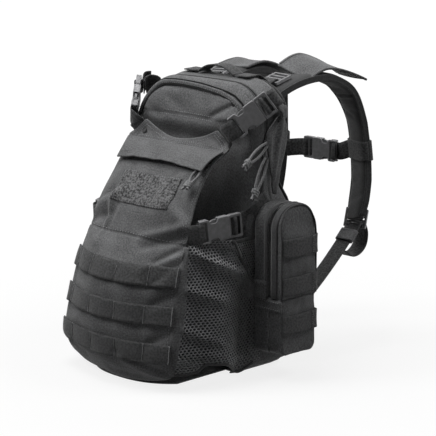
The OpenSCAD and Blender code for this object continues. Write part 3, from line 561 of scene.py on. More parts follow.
tape_finish = woven_finish("binding_tape", ribs, 0.03, 0.05, rough=0.75, sheen=0.25, depth=0.0002)
back_loop = arch(rim_n, 5)
binding = ribbon("back_edge_binding",
                 draw_in(points(back_loop[:, 0], back_y - 1.2, back_loop[:, 1] + 0.6))[14:-14],
                 points(back_loop[:, 0] * 0.02, 1.0, 0)[14:-14], 7.0, 1.8, tape_finish, steps=1, bow=1.2)
fit(binding, "pack")

# Front panel with the upper pocket
# A domed panel of the same nylon that folds forward from its foot. Its upper part carries a pocket
# whose zip hides under an arched cover strip; a double row of stitches closes the pocket's foot.
panel_low = 6.0


def dome(a, b):
    """Height of the panel's crown, from 1 in the middle to 0 at the rim."""
    return np.sqrt(np.maximum(0, 1 - np.abs(a) ** 6)) * np.sqrt(np.maximum(0, 1 - np.abs(b) ** 8))


def arch_ends(x, w, h, rt, rb):
    """Low and high end of an arched outline at x."""
    d = np.abs(x)
    low = np.where(d <= w / 2 - rb, 0, rb - np.sqrt(np.maximum(0, rb ** 2 - (d - w / 2 + rb) ** 2)))
    high = np.where(d <= w / 2 - rt, h, h - rt + np.sqrt(np.maximum(0, rt ** 2 - (d - w / 2 + rt) ** 2)))
    return low, high


def panel_face(x, z):
    """A point of the front panel over x and z: the crown stands forward of the leaning rim plane."""
    low, high = arch_ends(x, 2 * side_x, body_h, top_r, base_r)
    low = np.maximum(panel_low, low)
    b = np.clip(2 * (z - low) / np.maximum(high - low, 1e-6) - 1, -1, 1)
    return panel_y(z) + panel_d / upright - panel_d * dome(x / side_x, b)


def pocket_depth(x, z):
    """Distance of a point inside the arched outline, negative outside it."""
    cx = np.maximum(np.abs(x) - (side_x - top_r), 0)
    cz = np.maximum(z - (body_h - top_r), 0)
    return np.where((cx > 0) & (cz > 0), top_r - np.hypot(cx, cz), np.minimum(side_x - np.abs(x), body_h - z))


a = np.sin(np.pi / 2 * np.linspace(-1, 1, 141))[:, None]
b = np.sin(np.pi / 2 * np.linspace(-1, 1, 161))[None, :]
x = a * side_x + 0 * b
low, high = arch_ends(x, 2 * side_x, body_h, top_r, base_r)
z = np.maximum(low, panel_low) + (high - np.maximum(low, panel_low)) * (b + 1) / 2
deep = pocket_depth(x, z)
pocket = 1 / (1 + np.exp(-(deep - 16) / 1.8)) / (1 + np.exp(-(z - 341) / 2.5))
belly = np.exp(-((z - 334) / 6) ** 2) * np.clip(1 - (np.abs(x) / 104) ** 4, 0, 1)
below = np.clip((329 - z) / 18, 0, 1)
tuck = below ** 2 * (3 - 2 * below) * np.clip(1 - (np.abs(x) / 108) ** 6, 0, 1)
soft = waves(x / 170, z / 150, [(1.0, 1, 0.7, 0.3), (0.8, -1.2, 1.5, 1.1),
                                (0.5, 2.3, 0.8, 2.0)]) * np.clip(deep / 20, 0, 1)


def dents(x, z, rows):
    """Creases: each row is (x, z of one end, x, z of the other, half width, depth). A crease is a bell
    across its line and fades past its ends."""
    total = np.zeros(np.broadcast(x, z).shape)
    for x0, z0, x1, z1, wide, down in rows:
        dx, dz = x1 - x0, z1 - z0
        long = math.hypot(dx, dz)
        s = ((x - x0) * dx + (z - z0) * dz) / long
        d = ((x - x0) * dz - (z - z0) * dx) / long
        past = np.maximum(0, np.abs(s - long / 2) - long / 2)
        total = total + down * np.exp(-(d / wide) ** 2 - (past / (1.6 * wide)) ** 2)
    return total


crease = dents(x, z, [(44, 349, 74, 365, 3.6, 3.4), (52, 343, 88, 352, 5, -2.2), (-20, 352, -52, 366, 6, 1.6),
                      (-84, 350, -60, 338, 6, 1.4), (10, 360, 30, 352, 8, -1.2)])
push = (2.4 * pocket + 2.4 * belly - 8.0 * tuck + soft - crease
        - 0.9 * np.exp(-((z - 342) / 2.0) ** 2) * np.clip(deep / 12, 0, 1))
face = settle(points(x, panel_face(x, z) - push, z))
front = grid_piece("front_panel_face", face, pack_cloth, 3.4)
fit(front, "front_panel", "front_panel")

# the pocket's arch: a raised strip of cloth over the zip, and on either side the seam's gap as a near-black
# strip of painted shade
outer_line = np.array([(-108, 335), (-104, 350), (-98, 363), (-88, 376), (-78, 384), (-67, 387.5),
                       (-47, 388.5), (-23, 388), (7, 387), (29, 385), (48, 383.3), (62, 381.8), (76, 378.5),
                       (90, 370.3), (97.5, 361.5), (103, 350), (107, 336)])
inner_line = np.array([(-104, 330), (-99, 345), (-93, 356), (-83, 368), (-74, 376.5), (-64, 381.5),
                       (-48, 382.6), (-18, 382.4), (16, 380.5), (49.5, 377.5), (67.5, 372.2), (82.5, 364.2),
                       (93.5, 355.2), (99, 345), (102.5, 332)])
# near-black tape: the zip tapes' own dark colour, and painted shade where its strips fill the pocket seam's
# gaps
zip_tape_and_gap_shade = woven_finish("zip_tape", thread, 0.006, 0.012, rough=0.85, sheen=0.0)


def on_panel(line, out):
    """Points of the sagged panel under a line of (x, z), moved out from its face."""
    x, z = line[:, 0], line[:, 1]
    return settle(points(x, panel_face(x, z) - out, z))


outer_line, inner_line = even(outer_line), even(inner_line)
sideways = outer_line - inner_line
sideways = points(sideways[:, 0], 0.5, sideways[:, 1])
for name, line, out, wide, thick, bow, finish, slot in (
        ("pocket_zip_cover", (outer_line + inner_line) / 2, 3.6, 6.0, 1.4, 0.9, pack_cloth, "body_fabric"),
        ("pocket_zip_gap_outer", outer_line, 2.3, 3.0, 0.7, 0.0, zip_tape_and_gap_shade, "zip_tape"),
        ("pocket_zip_gap_inner", inner_line, 3.0, 3.0, 0.7, 0.0, zip_tape_and_gap_shade, "zip_tape")):
    strip = ribbon(name, on_panel(line, out), sideways, wide, thick, finish, steps=3, bow=bow)
    fit(strip, "front_panel")
sx = np.linspace(-97, 97, 120)
rows = [(on_panel(np.stack([sx, h - 0.012 * sx], -1), 1.6 if h < 342 else 2.4), (0, -1, 0.1), *plain_stitch)
        for h in (340.2, 346.4)]
rows += [(on_panel(inner_line, 2.6) + (0, 0, -4.0), (0, -1, 0.4), *plain_stitch),
         (on_panel((inner_line * 1.7 + outer_line) / 2.7, 4.9), (0, -1, 0.5), *plain_stitch)]
sew("front_panel_stitches", rows, "front_panel")

# Main zip
# Two woven tapes, one on the panel and one on the shell, with a nylon coil between them. It runs up
# one side, over the top and down the other; the panel's foot is the hinge.
tape_cloth = woven_finish("main_zip_tape", ribs, 0.03, 0.055, rough=0.8, sheen=0.1, depth=0.0002)
coil_finish = woven_finish("zip_coil", thread, 0.018, 0.035, rough=0.5, sheen=0.0, place="Object")


def zip_tape(name, d0, d1, body, node):
    """A band on the outline between two depths behind the leaning front plane."""
    loop = arch(320, 1.1)[26:-26]
    mid = panel_y(loop[:, 1]) + (d0 + d1) / 2 / upright
    obj = ribbon(name, settle(points(loop[:, 0], mid, loop[:, 1])), (0, 1, 0), d1 - d0, 1.2, tape_cloth,
                 steps=1, across=3)
    fit(obj, body, node)


def zip_coil(name, line, out, width, body):
    """A zip's coil: close grains across a line."""
    pitch, grain = 1.9, 1.25
    coil = new_piece(name, *grains([(line, out, pitch, grain, width)]), coil_finish, smooth=False)
    fit(coil, body)


zip_tape("zip_tape_of_shell", 26.3, 30.4, "pack", "main_zip_body_tape")
zip_tape("zip_tape_of_panel", 21.6, 25.7, "front_panel", "main_zip_panel_tape")
loop = arch(900, 0.7)[70:-70]
mid = panel_y(loop[:, 1]) + 26 / upright
line = settle(points(loop[:, 0], mid, loop[:, 1]))
off_loop = unit(points(loop[:, 0], 0, (loop[:, 1] - 250) * 0.9))
zip_coil("main_zip_coil", line + (0, 0.9, 0), off_loop, 2.3, "pack")

# Zip sliders
# Black enamelled castings on the tapes, each with a bridge for the cord.
enamel, tree, metal = surface("black_enamel")
spot = shader(tree, "TexCoord", {}).outputs["Object"]
worn = noise(tree, spot, 900.0)
tone = ramp(tree, worn, (0, 0.015, 0.015, 0.016), (1, 0.06, 0.06, 0.062))
gloss = shader(tree, "MapRange", {0: worn, "To Min": 0.28, "To Max": 0.5})
wire(tree, metal, {"Metallic": 0.6, "Base Color": tone, "Roughness": gloss.outputs[0]})
merge_within = 0.00002


def ease_edges(node, finish, width=0.5):
    """Gives a rigid CAD node its finish and rounds its corners."""
    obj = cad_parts[node]
    obj.data.materials.clear()
    obj.data.materials.append(finish)
    weld = obj.modifiers.new("weld", "WELD")
    weld.merge_threshold = merge_within
    round_off = obj.modifiers.new("rounding", "BEVEL")
    round_off.width = width / 1000
    round_off.segments = 3
    round_off.limit_method = "ANGLE"
    round_off.angle_limit = math.radians(32)
    round_off.harden_normals = False
    return obj


for node in ("front_zip_slider", "main_zip_slider_upper", "main_zip_slider_lower", "pouch_slider_right",
             "pouch_slider_left"):
    ease_edges(node, enamel, 0.45)

# Load flap
# One piece of nylon, sewn to the floor panel at its foot and scooped at the top between two lugs.
# It bellies out over the space behind it, and its cloth pulls in folds towards the lower straps.


def flap_top(a):
    """Upper edge: a scoop between the lugs, falling off outside them."""
    d = np.abs(a)
    return 312 + np.where(d < 0.71, 18 * (d / 0.71) ** 2, 18 - 22 * (d - 0.71) / 0.29)


pull_folds = [(90, 214, 38, 246, 9, 3.6), (84, 228, 46, 254, 5, -2.4), (86, 211, 27, 193, 6, 3.8),
              (92, 199, 40, 184, 5, -3.2), (95, 188, 66, 168, 5, -3.6), (96, 178, 58, 160, 6, 3.0),
              (-90, 214, -40, 242, 9, 3.4), (-86, 226, -50, 250, 5, -2.2), (-92, 198, -50, 212, 6, -3.0),
              (-90, 186, -54, 174, 7, 2.8), (-64, 240, -58, 192, 6, -2.6), (-50, 236, -54, 190, 5, 1.8),
              (-38, 226, -44, 196, 5, -1.2), (70, 298, 90, 318, 7, -2.4), (38, 264, 72, 280, 6, 1.6),
              (60, 312, 78, 300, 5, 1.6), (-78, 296, -90, 316, 6, -1.8), (29, 46, 101, 23, 5, -3.0),
              (40, 37, 102, 15, 6, 2.6), (-96, 34, -54, 24, 8, -2.4), (0, 126, 60, 128, 10, 1.6),
              (-70, 124, -10, 126, 10, 1.4), (-60, 77, 70, 75, 9, 1.8), (104, 80, 80, 66, 6, -2.2),
              (104, 130, 78, 116, 6, -2.6), (98, 168, 70, 140, 5, -1.8), (10, 18, 60, 14, 6, -1.4)]


def flap_cloth(a, z, out=0.0):
    """The flap's face with its folds: the skin moved along its normal by the ridges and a slow swell."""
    x = along(half_width, z) * a
    swell = waves(x / 210, z / 190, [(0.9, 1.3, 0.6, 0.2), (0.7, -0.8, 1.9, 1.4), (0.45, 2.9, 1.1, 0.7)])
    edge = np.clip((1 - np.abs(a)) * 8, 0, 1)
    seam = -1.5 * np.exp(-((z - 193 + 3 * np.abs(a)) / 1.8) ** 2)
    return flap_skin(a, z, dents(x, z, pull_folds) * (0.35 + 0.65 * edge) + swell * edge + seam + out)


a = np.linspace(-1, 1, 141)[:, None]
t = np.linspace(0, 1, 181)[None, :]
flap_low = 5.4 + 12 * np.abs(a) ** 4
z = flap_low + (flap_top(a) - flap_low) * t
face = flap_cloth(a + 0 * t, z)
flap = grid_piece("flap_cloth", face, pack_cloth, 2.6)
fit(flap, "flap", "load_flap")

# Webbing rows
# Three lengths of ribbed webbing, tacked to the flap at intervals so that each stretch between two
# tacks is a channel. Each tack is a close line of thread.
webbing = woven_finish("webbing", ribs, 0.018, 0.07, rough=0.66, sheen=0.14, depth=0.0006)
row_runs = []
row_tacks = {52.0: (-1, -0.665, -0.205, 0.23, 0.655, 0.995), 101.0: (-1, -0.835, -0.265, 0.2, 0.635, 0.995),
             150.0: (-1, -0.81, -0.38, 0.13, 0.635, 0.995)}
for k, (height, tacks) in enumerate(row_tacks.items()):
    ra = np.linspace(-0.995, 0.995, 181)
    between = np.interp(ra, tacks, np.arange(len(tacks)))
    arc = np.abs(np.sin(np.pi * between)) ** 0.6
    w = np.linspace(-12.5, 12.5, 9)
    bend = arc[:, None] ** 2 * (w[None, :] / 12.5) ** 2 * np.sign(-w)[None, :]
    g = flap_cloth(np.repeat(ra[:, None], 9, 1), height + w[None, :] + 0 * ra[:, None],
                   1.7 + 2.2 * arc[:, None] + bend)
    row = grid_piece(f"flap_row_{k + 1}", g, webbing, 1.7, 0.0)
    fit(row, "flap", "flap_webbing_rows" if k == 0 else None)
    zz = height + np.linspace(-11.8, 11.8, 20)
    for ta in tacks:
        # the outermost tacks lie a little inside the row's ends
        shift = 0 if abs(ta) < 0.99 else -0.012 * ta
        row_runs.append((flap_cloth(0 * zz + ta + shift, zz, 3.3),
                         flap_skin(ta, height, 1) - flap_skin(ta, height), 1.3, 1.6, 1.6))
za = np.linspace(-0.98, 0.98, 90)
row_runs.append((flap_cloth(za, 195.5 - 3 * np.abs(za), 0.4), (0, -0.8, 0.4), 5.2, 3.6, 1.25))
scoop = np.linspace(-1, 1, 161) * 0.7
row_runs.append((flap_cloth(scoop, flap_top(scoop) - 5.5, 0.25), (0, -1, 0.2), *plain_stitch))
for s in (1, -1):
    la = np.linspace(0.7, 0.985, 30)
    for inside in (3.5, 7.5):
        row_runs.append((flap_cloth(s * (la - inside * 0.004), flap_top(la) - inside, 0.35), (0, -1, 0.2),
                         3.4, 2.7, 0.95))
    zz = np.linspace(24, 300, 100)
    row_runs.append((flap_cloth(0 * zz + 0.95 * s, zz, 0.3), (0.3 * s, -1, 0.2), *plain_stitch))
    zz = np.linspace(192, 214, 12)
    for at in (0.925, 0.965):
        row_runs.append((flap_cloth(0 * zz + at * s, zz, 0.45), (0.3 * s, -1, 0.2), 3.0, 2.4, 0.95))

# Loop field
# A rectangle of fuzzy loop tape for a patch, sewn on along its edges, a little matted.
fuzz, tree, pile = surface("loop_tape")
spot = shader(tree, "TexCoord", {}).outputs["UV"]
hair = noise(tree, spot, 280.0, Detail=2.0, Roughness=0.6)
matted = noise(tree, spot, 55.0, Detail=4.0)
nap = maths(tree, "ADD", maths(tree, "MULTIPLY", hair, 0.75), maths(tree, "MULTIPLY", matted, 0.25))
tone = ramp(tree, nap, (0.42, 0.016, 0.016, 0.017), (0.58, 0.23, 0.231, 0.235))
dent = shader(tree, "Bump", {"Strength": 0.8, "Distance": 0.0006, "Height": nap})
wire(tree, pile, {"Base Color": tone, "Normal": dent.outputs[0], "Roughness": 0.95, "Sheen Weight": 0.4,
                  "Sheen Roughness": 0.6, "Specular IOR Level": 0.15})
field_a, field_low, field_top = 0.64, 230, 268
la, lz = np.linspace(-field_a, field_a, 150)[:, None], np.linspace(field_low, field_top, 60)[None, :]
tuft = np.random.default_rng(7).normal(0, 0.26, (150, 60))
border = np.minimum(np.minimum(la + field_a, field_a - la) * 90 / 3,
                    np.minimum(lz - field_low, field_top - lz) / 3).clip(0, 1)
g = flap_cloth(la + 0 * lz, lz + 0 * la, 0.9 + border * (0.9 + tuft))
field = grid_piece("loop_field_pile", g, fuzz, 1.2)
fit(field, "flap", "loop_field")
fa, fz = np.linspace(-0.62, 0.62, 60), np.linspace(231.5, 266.5, 24)
for h in (231.2, 266.8):
    row_runs.append((flap_cloth(fa, 0 * fa + h, 1.75), (0, -0.8, 0.5), *plain_stitch))
for s in (-0.625, 0.625):
    row_runs.append((flap_cloth(0 * fz + s, fz, 1.75), (0, -0.8, 0.5), *plain_stitch))

# Front pocket zip and its storm flap
# A coil zip across the flap under a hanging strip of nylon, sewn along its top edge and hemmed below.
ta, tz = np.linspace(-0.94, 0.94, 80)[:, None], np.linspace(284, 291, 7)[None, :]
g = flap_cloth(ta + 0 * tz, tz + 0 * ta, 0.9)
tape = grid_piece("front_zip_tapes", g, zip_tape_and_gap_shade, 0.8)
fit(tape, "flap", "front_zip_tape")
ca = np.linspace(-0.93, 0.93, 160)
zip_coil("front_zip_coil", flap_cloth(ca, 0 * ca + 287.5, 1.15), (0, -0.7, 0.7), 2.2, "flap")


def storm_low(a):
    """Lower edge of the storm flap, which hangs lowest at its ends."""
    return 281 - 5 * a ** 2


v = np.linspace(0, 1, 28)[None, :]
sa = np.linspace(-1, 1, 121)[:, None] * (0.95 + 0.03 * v)
hang = storm_low(sa)
sz = hang + (304 - hang) * v
droop = 0.9 * np.sin(sa * 9) * (1 - v) ** 2 + 0.5 * np.sin(sa * 21 + 1) * (1 - v) ** 2
g = flap_skin(sa, sz, 7.4 + (2.1 - 7.4) * v ** 2 + droop)
storm = grid_piece("storm_flap_cloth", g, pack_cloth, 1.8, 0.0)
fit(storm, "storm_flap", "storm_flap")
ha = np.linspace(-0.94, 0.94, 120)
hem = sew("storm_flap_stitches", [(flap_skin(ha, storm_low(ha) + 7, 8.0), (0, -0.7, 0.7), *plain_stitch)],
          "storm_flap")
row_runs.append((flap_cloth(ha, 0 * ha + 305.5, 0.3), (0, -0.8, 0.6), *plain_stitch))
row_runs.append((flap_cloth(ha, 0 * ha + 308.5, 0.3), (0, -0.9, 0.4), *plain_stitch))
sew("flap_stitches", row_runs, "flap")

# Mesh gussets
# Knitted mesh with six-sided holes closes the space behind the flap at both sides. It is slack, so it
# folds, and a second layer of it stands behind the first one's sloping upper edge.
mesh_finish = woven_finish("knitted_mesh", thread, 0.17, 0.32, rough=0.5, sheen=0.5, depth=0.0002,
                           per_metre=1400)
gusset_h, pouch_y0, mesh_l = 184.0, 35.5, 138.0


def gusset_at(u, z, out):
    """The mesh at a side: from the flap's edge to the body's corner, bowed outwards, most near the corner
    where the front panel passes it, then back along the body. u runs 0 to 1, and out moves it off."""
    s = flap_skin(0 * z + 1.0, z)
    a = s + (0.6, 4.3, 0)
    c = points(side_x + 1.5, panel_y(z) + 2, z)
    b = points(side_x + 1.5, pouch_y0 + 14, z)
    bow = (1 - (z / gusset_h) ** 2) * 7
    e = unit(points(c[..., 1] - a[..., 1], a[..., 0] - c[..., 0], 0 * z))
    q = np.clip(u / 0.7, 0, 1)[..., None]
    p = np.clip((u - 0.7) / 0.3, 0, 1)[..., None]
    first = a + (c - a) * q + e * (bow[..., None] * np.sin(np.pi * q) + 8 * np.sin(np.pi * q ** 2))
    turn = np.clip((u - 0.62) / 0.16, 0, 1)[..., None]
    direction = unit(e * (1 - turn) + np.array((1.0, 0, 0)) * turn)
    return first + (b - c) * p + direction * np.asarray(out)[..., None]


def hex_net(inside, pitch=5.4, rise=3.4, hole=0.66):
    """A flat net of six-sided cells with a six-sided hole in each, kept where inside(s, z) holds. The
    corners that neighbours share are merged by their place."""
    i, j = np.meshgrid(np.arange(0, int(mesh_l / pitch) + 2), np.arange(0, int(200 / rise)), indexing="ij")
    s = (i + 0.5 * (j % 2)) * pitch
    z = j * rise + 4.0
    keep = inside(s, z)
    s, z = s[keep], z[keep]
    q = np.pi / 6 + np.pi / 3 * np.arange(6)
    ring = np.stack([np.cos(q) * pitch / math.sqrt(3), np.sin(q) * rise / 1.5], -1)
    centre = np.stack([s, z], -1)[:, None]
    flat = np.concatenate([centre + ring, centre + ring * hole], 1).reshape(-1, 2)
    k = np.arange(6)
    quad = np.stack([k, (k + 1) % 6, 6 + (k + 1) % 6, 6 + k], -1)
    faces = (quad[None] + 12 * np.arange(len(s))[:, None, None]).reshape(-1, 4)
    spot, index = np.unique(np.round(flat * 20).astype(int), axis=0, return_inverse=True)
    return spot / 20.0, index.reshape(-1)[faces]


def slack(s, z):
    """How far the mesh stands off: folds that fall from the strap and pile up towards the foot."""
    folds = dents(s, z, [(-6, 186, 46, 166, 5, 6.5), (46, 166, 92, 146, 6, 6.0), (30, 186, 84, 164, 9, -5.0),
                         (30, 152, 88, 128, 9, -3.0), (11, 133, 61, 115, 6, 4.0), (20, 118, 78, 98, 9, -2.6),
                         (9, 82, 65, 57, 6, 3.6), (20, 66, 84, 44, 9, -2.6), (48, 46, 96, 34, 9, 4.0)])
    return folds + waves(s / mesh_l, z / gusset_h, [(1.0, 1.6, 1.1, 0.3), (0.7, -2.2, 2.0, 1.0)])


def net_off(s, z, layer):
    """Slack of a layer, held down at the flap's edge and at the pouch."""
    share = 1.0 if layer == "outer" else 0.15
    return share * slack(s, z) * np.clip(s / 12, 0, 1) * np.clip((mesh_l - 12 - s) / 14, 0, 1)


def fit_between(obj, first, second, start, end, slot, node=None):
    """Bakes a piece's placement into its mesh and hides a CAD node where one is named. The two bodies and the
    two places it is given are not used.
    """
    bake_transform(obj)
    if node:
        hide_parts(node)


def fit_gusset(obj, sign, slot, node=None):
    """Bakes a piece of a gusset in place, hiding a CAD node where one is named."""
    fit_between(obj, "pack", "flap", (sign * 0.124, 0.016, 0.1), (sign * 0.110, -0.040, 0.1), slot, node)


outer_top = [(0, 190), (40, 192), (71.5, 191), (79.5, 182), (95, 160), (110, 140), (133, 121)]
outer_low = [(0, 23), (31, 24.5), (43, 33.5), (57, 32.5), (73, 30.5), (88, 21), (102, 12), (125, 19)]
inner_low = [(0, 150), (70, 150), (100, 118), (138, 96)]
cloth_edge = [(23, 0.5), (37, 3), (66, 5.5), (87, 9.5), (113, 10.5), (135, 8.6), (160, 5), (186, 0.5)]
layers = {"outer": (lambda s, z: (z < along(outer_top, s)) & (z > along(outer_low, s)) & (s < 133)
                    & (s > np.interp(z, *np.transpose(cloth_edge)) - 2.5), 2.0),
          "inner": (lambda s, z: (z < 190) & (z > along(inner_low, s)) & (s > 62) & (s < mesh_l - 2), -0.8)}
for side, sign in both_sides:
    for layer, (inside, base) in layers.items():
        flat, faces = hex_net(inside)
        s, z = flat[:, 0], flat[:, 1]
        p = gusset_at(s / mesh_l, z, base + net_off(s, z, layer)) * (sign, 1, 1)
        net = new_piece(f"gusset_net_{layer}_{side}", p, faces[:, ::sign], mesh_finish, flat)
        thicken(net, 0.55, 0.0)
        fit_gusset(net, sign, "mesh", f"mesh_gusset_{side}" if layer == "outer" else None)
    # the flap's cloth turns in over the mesh's front edge and is sewn down on it
    bz = np.linspace(20, 188, 70)[:, None]
    bs = np.interp(bz, *np.transpose(cloth_edge)) * np.linspace(0.25, 1, 7)[None, :]
    lap = [flap_skin(0 * bz + a, bz, o) for a, o in ((0.97, -2.2), (1.0, -0.9))]
    g = np.concatenate([*lap, gusset_at(bs / mesh_l, bz + 0 * bs, 2.6 + net_off(bs, bz + 0 * bs, "outer"))],
                       1) * (sign, 1, 1)
    lap = grid_piece(f"flap_turning_{side}", g, pack_cloth, 1.6, 0.0, grid_faces(70, 9)[:, ::-sign])
    fit_gusset(lap, sign, "body_fabric")
    runs = {"top": (np.linspace(68, 131, 40), lambda s: along(outer_top, s) - 0.5, 2.2, 3.4, "outer"),
            "foot": (np.linspace(0, 125, 60), lambda s: along(outer_low, s) - 0.5, 2.0, 3.6, "outer"),
            "back": (np.linspace(62, mesh_l - 3, 40), lambda s: 0 * s + 189.5, -0.8, 5.0, "inner")}
    for part, (s, height, base, wide, layer) in runs.items():
        z = height(s)
        hem = ribbon(f"gusset_hem_{part}_{side}", gusset_at(s / mesh_l, z, base + net_off(s, z, layer))
                     * (sign, 1, 1), (0, 0, 1.0), wide, 1.6, tape_finish, steps=1, bow=0.4)
        fit_gusset(hem, sign, "webbing")

# Floor of the flap's space
# A panel between the flap's foot and the compartment's floor.
foot_a = np.linspace(-1, 1, 61)
edge = flap_skin(foot_a, 0 * foot_a + 3.0)
rim_front = np.stack([edge[:, 0] * 0.88, edge[:, 1] + 1.5 + 14 * foot_a ** 4], -1)
depth = np.linspace(0, 1, 30)[None, :, None]
rear = np.stack([rim_front[:, 0] / np.abs(rim_front[:, 0]).max() * 81, np.full(61, 22.8)], -1)
flat = rim_front[:, None] + (rear - rim_front)[:, None] * depth
crown = 1.2 * np.sin(np.pi * depth[..., 0]) * (1 - foot_a[:, None] ** 4)
g = np.concatenate([flat, (4.2 + crown - 0.9)[..., None]], -1)
base = grid_piece("flap_floor_cloth", g, pack_cloth, 3.2)
fit(base, "pack", "flap_floor")

# Buckles and ladder-locks
# Side-release buckles and ladder-locks, moulded in matt grey nylon. Each half is one moulding with
# softened corners; the ladder-locks' nylon is painted paler, as painted light on their upturned faces.


def moulded_finish(name, dark, light):
    """Matt nylon: a fine spark-eroded grain, scuffs that lift the tone a little, and painted highlights along
    its sharp edges.
    """
    mat, tree, body = surface(name)
    spot = shader(tree, "TexCoord", {}).outputs["Object"]
    grain = noise(tree, spot, 2600.0)
    scuff = noise(tree, spot, 140.0, Detail=6.0)
    tone = ramp(tree, scuff, (0.35, dark, dark, dark * 1.03), (0.7, light, light, light * 1.03))
    # painted highlight: sharp edges are painted up to three times paler, as if they catch the light
    point = shader(tree, "NewGeometry", {}).outputs["Pointiness"]
    edge = shader(tree, "MapRange", {0: point, "From Min": 0.505, "From Max": 0.56, "To Min": 1.0,
                                     "To Max": 3.0})
    painted_edge_highlight = shader(tree, "VectorMath", {0: tone, "Scale": edge.outputs[0]}, operation="SCALE")
    gloss = shader(tree, "MapRange", {0: scuff, "To Min": 0.36, "To Max": 0.56})
    dent = shader(tree, "Bump", {"Strength": 0.25, "Distance": 0.00008, "Height": grain})
    wire(tree, body, {"Base Color": painted_edge_highlight.outputs[0], "Roughness": gloss.outputs[0],
                      "Normal": dent.outputs[0]})
    return mat


buckle_nylon = moulded_finish("buckle_nylon", 0.09, 0.14)
# the ladder-locks' nylon is a paler copy of the buckles', painted light for locks that face up to the lamps
painted_light_lock_nylon = moulded_finish("painted_light_lock_nylon", 0.13, 0.2)
ease_edges("ladder_locks", painted_light_lock_nylon, 0.9)


def rounded(corners, r):
    """A closed outline with its corners rounded: each corner becomes a short curve between points r away
    from it, or less where its sides are short."""
    p = np.asarray(corners, float)
    before, after = np.roll(p, 1, 0) - p, np.roll(p, -1, 0) - p
    reach = [np.minimum(r, 0.45 * np.linalg.norm(v, axis=1))[:, None] * unit(v) for v in (before, after)]
    t = np.linspace(0, 1, 5)[None, :, None]
    return (p[:, None] + (1 - t) ** 2 * reach[0][:, None] + t ** 2 * reach[1][:, None]).reshape(-1, 2)


def mirrored(half):
    """An outline from its upper half, given from one end to the other."""
    half = np.asarray(half, float)
    return np.concatenate([half, half[::-1] * (1, -1)])


def flat_solid(outline, holes, low, high, ease):
    """A flat moulding as points and faces: a filled outline with holes, raised from low to high, its edges
    rounded by ease. The rounding adds ease to the outline and takes it off the holes."""
    curve = bpy.data.curves.new("moulding", "CURVE")
    curve.dimensions = "2D"
    curve.fill_mode = "BOTH"
    curve.extrude = (high - low) / 2 - ease
    curve.bevel_depth = ease
    curve.bevel_resolution = 2
    for ring in [outline, *holes]:
        spline = curve.splines.new("POLY")
        spline.points.add(len(ring) - 1)
        spline.points.foreach_set("co", np.c_[ring, np.zeros(len(ring)), np.ones(len(ring))].ravel())
        spline.use_cyclic_u = True
    holder = bpy.data.objects.new("moulding", curve)
    mesh = holder.to_mesh()
    verts = np.zeros(3 * len(mesh.vertices), np.float32)
    mesh.vertices.foreach_get("co", verts)
    faces = [tuple(p.vertices) for p in mesh.polygons]
    verts = verts.reshape(-1, 3) + (0, 0, (low + high) / 2)
    holder.to_mesh_clear()
    bpy.data.objects.remove(holder)
    bpy.data.curves.remove(curve)
    return verts, faces


def moulding(name, solids, where, sign, body, node):
    """Puts flat mouldings together as one piece of a buckle, in the buckle's frame."""
    origin, x, y, z = where
    verts, faces, count = [], [], 0
    for v, f in solids:
        verts.append((origin + v @ np.array([x, y, z])) * (sign, 1, 1))
        faces += [[k + count for k in (c if sign > 0 else c[::-1])] for c in f]
        count += len(v)
    obj = new_piece(name, np.concatenate(verts), faces, buckle_nylon)
    weld = obj.modifiers.new("weld", "WELD")
    weld.merge_threshold = merge_within
    flat = obj.modifiers.new("flat_faces", "WEIGHTED_NORMAL")
    flat.weight = 90
    fit(obj, body, node)


def buckle_frame(origin, x, z):
    """Origin and axes of a buckle: x along the strap, z out of its face."""
    x, z = np.array(x), np.array(z)
    return np.array(origin), x, np.cross(z, x), z


def moved(where, by):
    """The same frame further along the strap."""
    return (where[0] + by * where[1], *where[1:])


# female half: two faces waisted where the prongs are pressed, walls between them, and a bar at the end
face_plan = rounded(mirrored([(9.8, 13.6), (0.7, 13.6), (0.7, 15.3), (11.4, 15.3), (12.8, 11.6), (14.4, 9.4),
                              (22.6, 9.4), (25.0, 11.6), (26.8, 15.3), (41.3, 15.3)]), 1.6)
slot_plan = rounded([(3.4, -13.4), (9.8, -13.4), (9.8, 13.4), (3.4, 13.4)], 1.2)
female_solids = [flat_solid(face_plan, [], 6.8, 9.5, 0.7), flat_solid(face_plan, [], 0.0, 2.7, 0.7),
                 flat_solid(rounded([(0.6, -15.0), (11.4, -15.0), (11.4, 15.0), (0.6, 15.0)], 1.6),
                            [slot_plan], 2.2, 7.3, 0.4)]
female_solids += [flat_solid(np.array([(26.6, s * 14.9), (41.4, s * 14.9), (41.4, s * 15.5),
                                       (26.6, s * 15.5)]), [], 2.2, 7.3, 0.25) for s in (-1, 1)]
# male half: the ladder outside, two prongs and a guide inside
ladder_plan = rounded([(43.0, -15.4), (60.8, -15.4), (60.8, 15.4), (43.0, 15.4)], 2.0)
ladder_slots = [rounded([(x0, -13.0), (x1, -13.0), (x1, 13.0), (x0, 13.0)], 0.8)
                for x0, x1 in ((44.0, 50.2), (52.0, 59.0))]
male_solids = [flat_solid(ladder_plan, ladder_slots, 1.2, 8.3, 0.6)]
prong = np.array([(43.4, 9.0), (27, 9.4), (20, 8.4), (15, 9.2), (13.0, 10.4), (15.4, 12.4), (19, 13.8),
                  (23.6, 14.1), (24.6, 12.2), (43.4, 12.2)])
male_solids += [flat_solid(rounded(prong * (1, s), 1.0), [], 3.0, 6.5, 0.35) for s in (-1, 1)]
male_solids.append(flat_solid(rounded([(43.4, -1.6), (18.6, -1.6), (17.6, 0), (18.6, 1.6), (43.4, 1.6)], 0.8),
                              [], 3.2, 6.3, 0.35))
upper = buckle_frame((83.7473, 10.2787, 321.332), (0.509115, 0.620568, 0.596403),
                     (0.72659, -0.681324, 0.0886818))
lower = buckle_frame((91.6302, -60.0702, 203.0), (0.279161, 0.95454, 0.104507),
                     (0.960024, -0.279771, -0.00908))
upper_bar, lower_bar = 22, 18
chest = buckle_frame((33, 292.262, 263.625), (-1, 0, 0), (0, 1, 0))
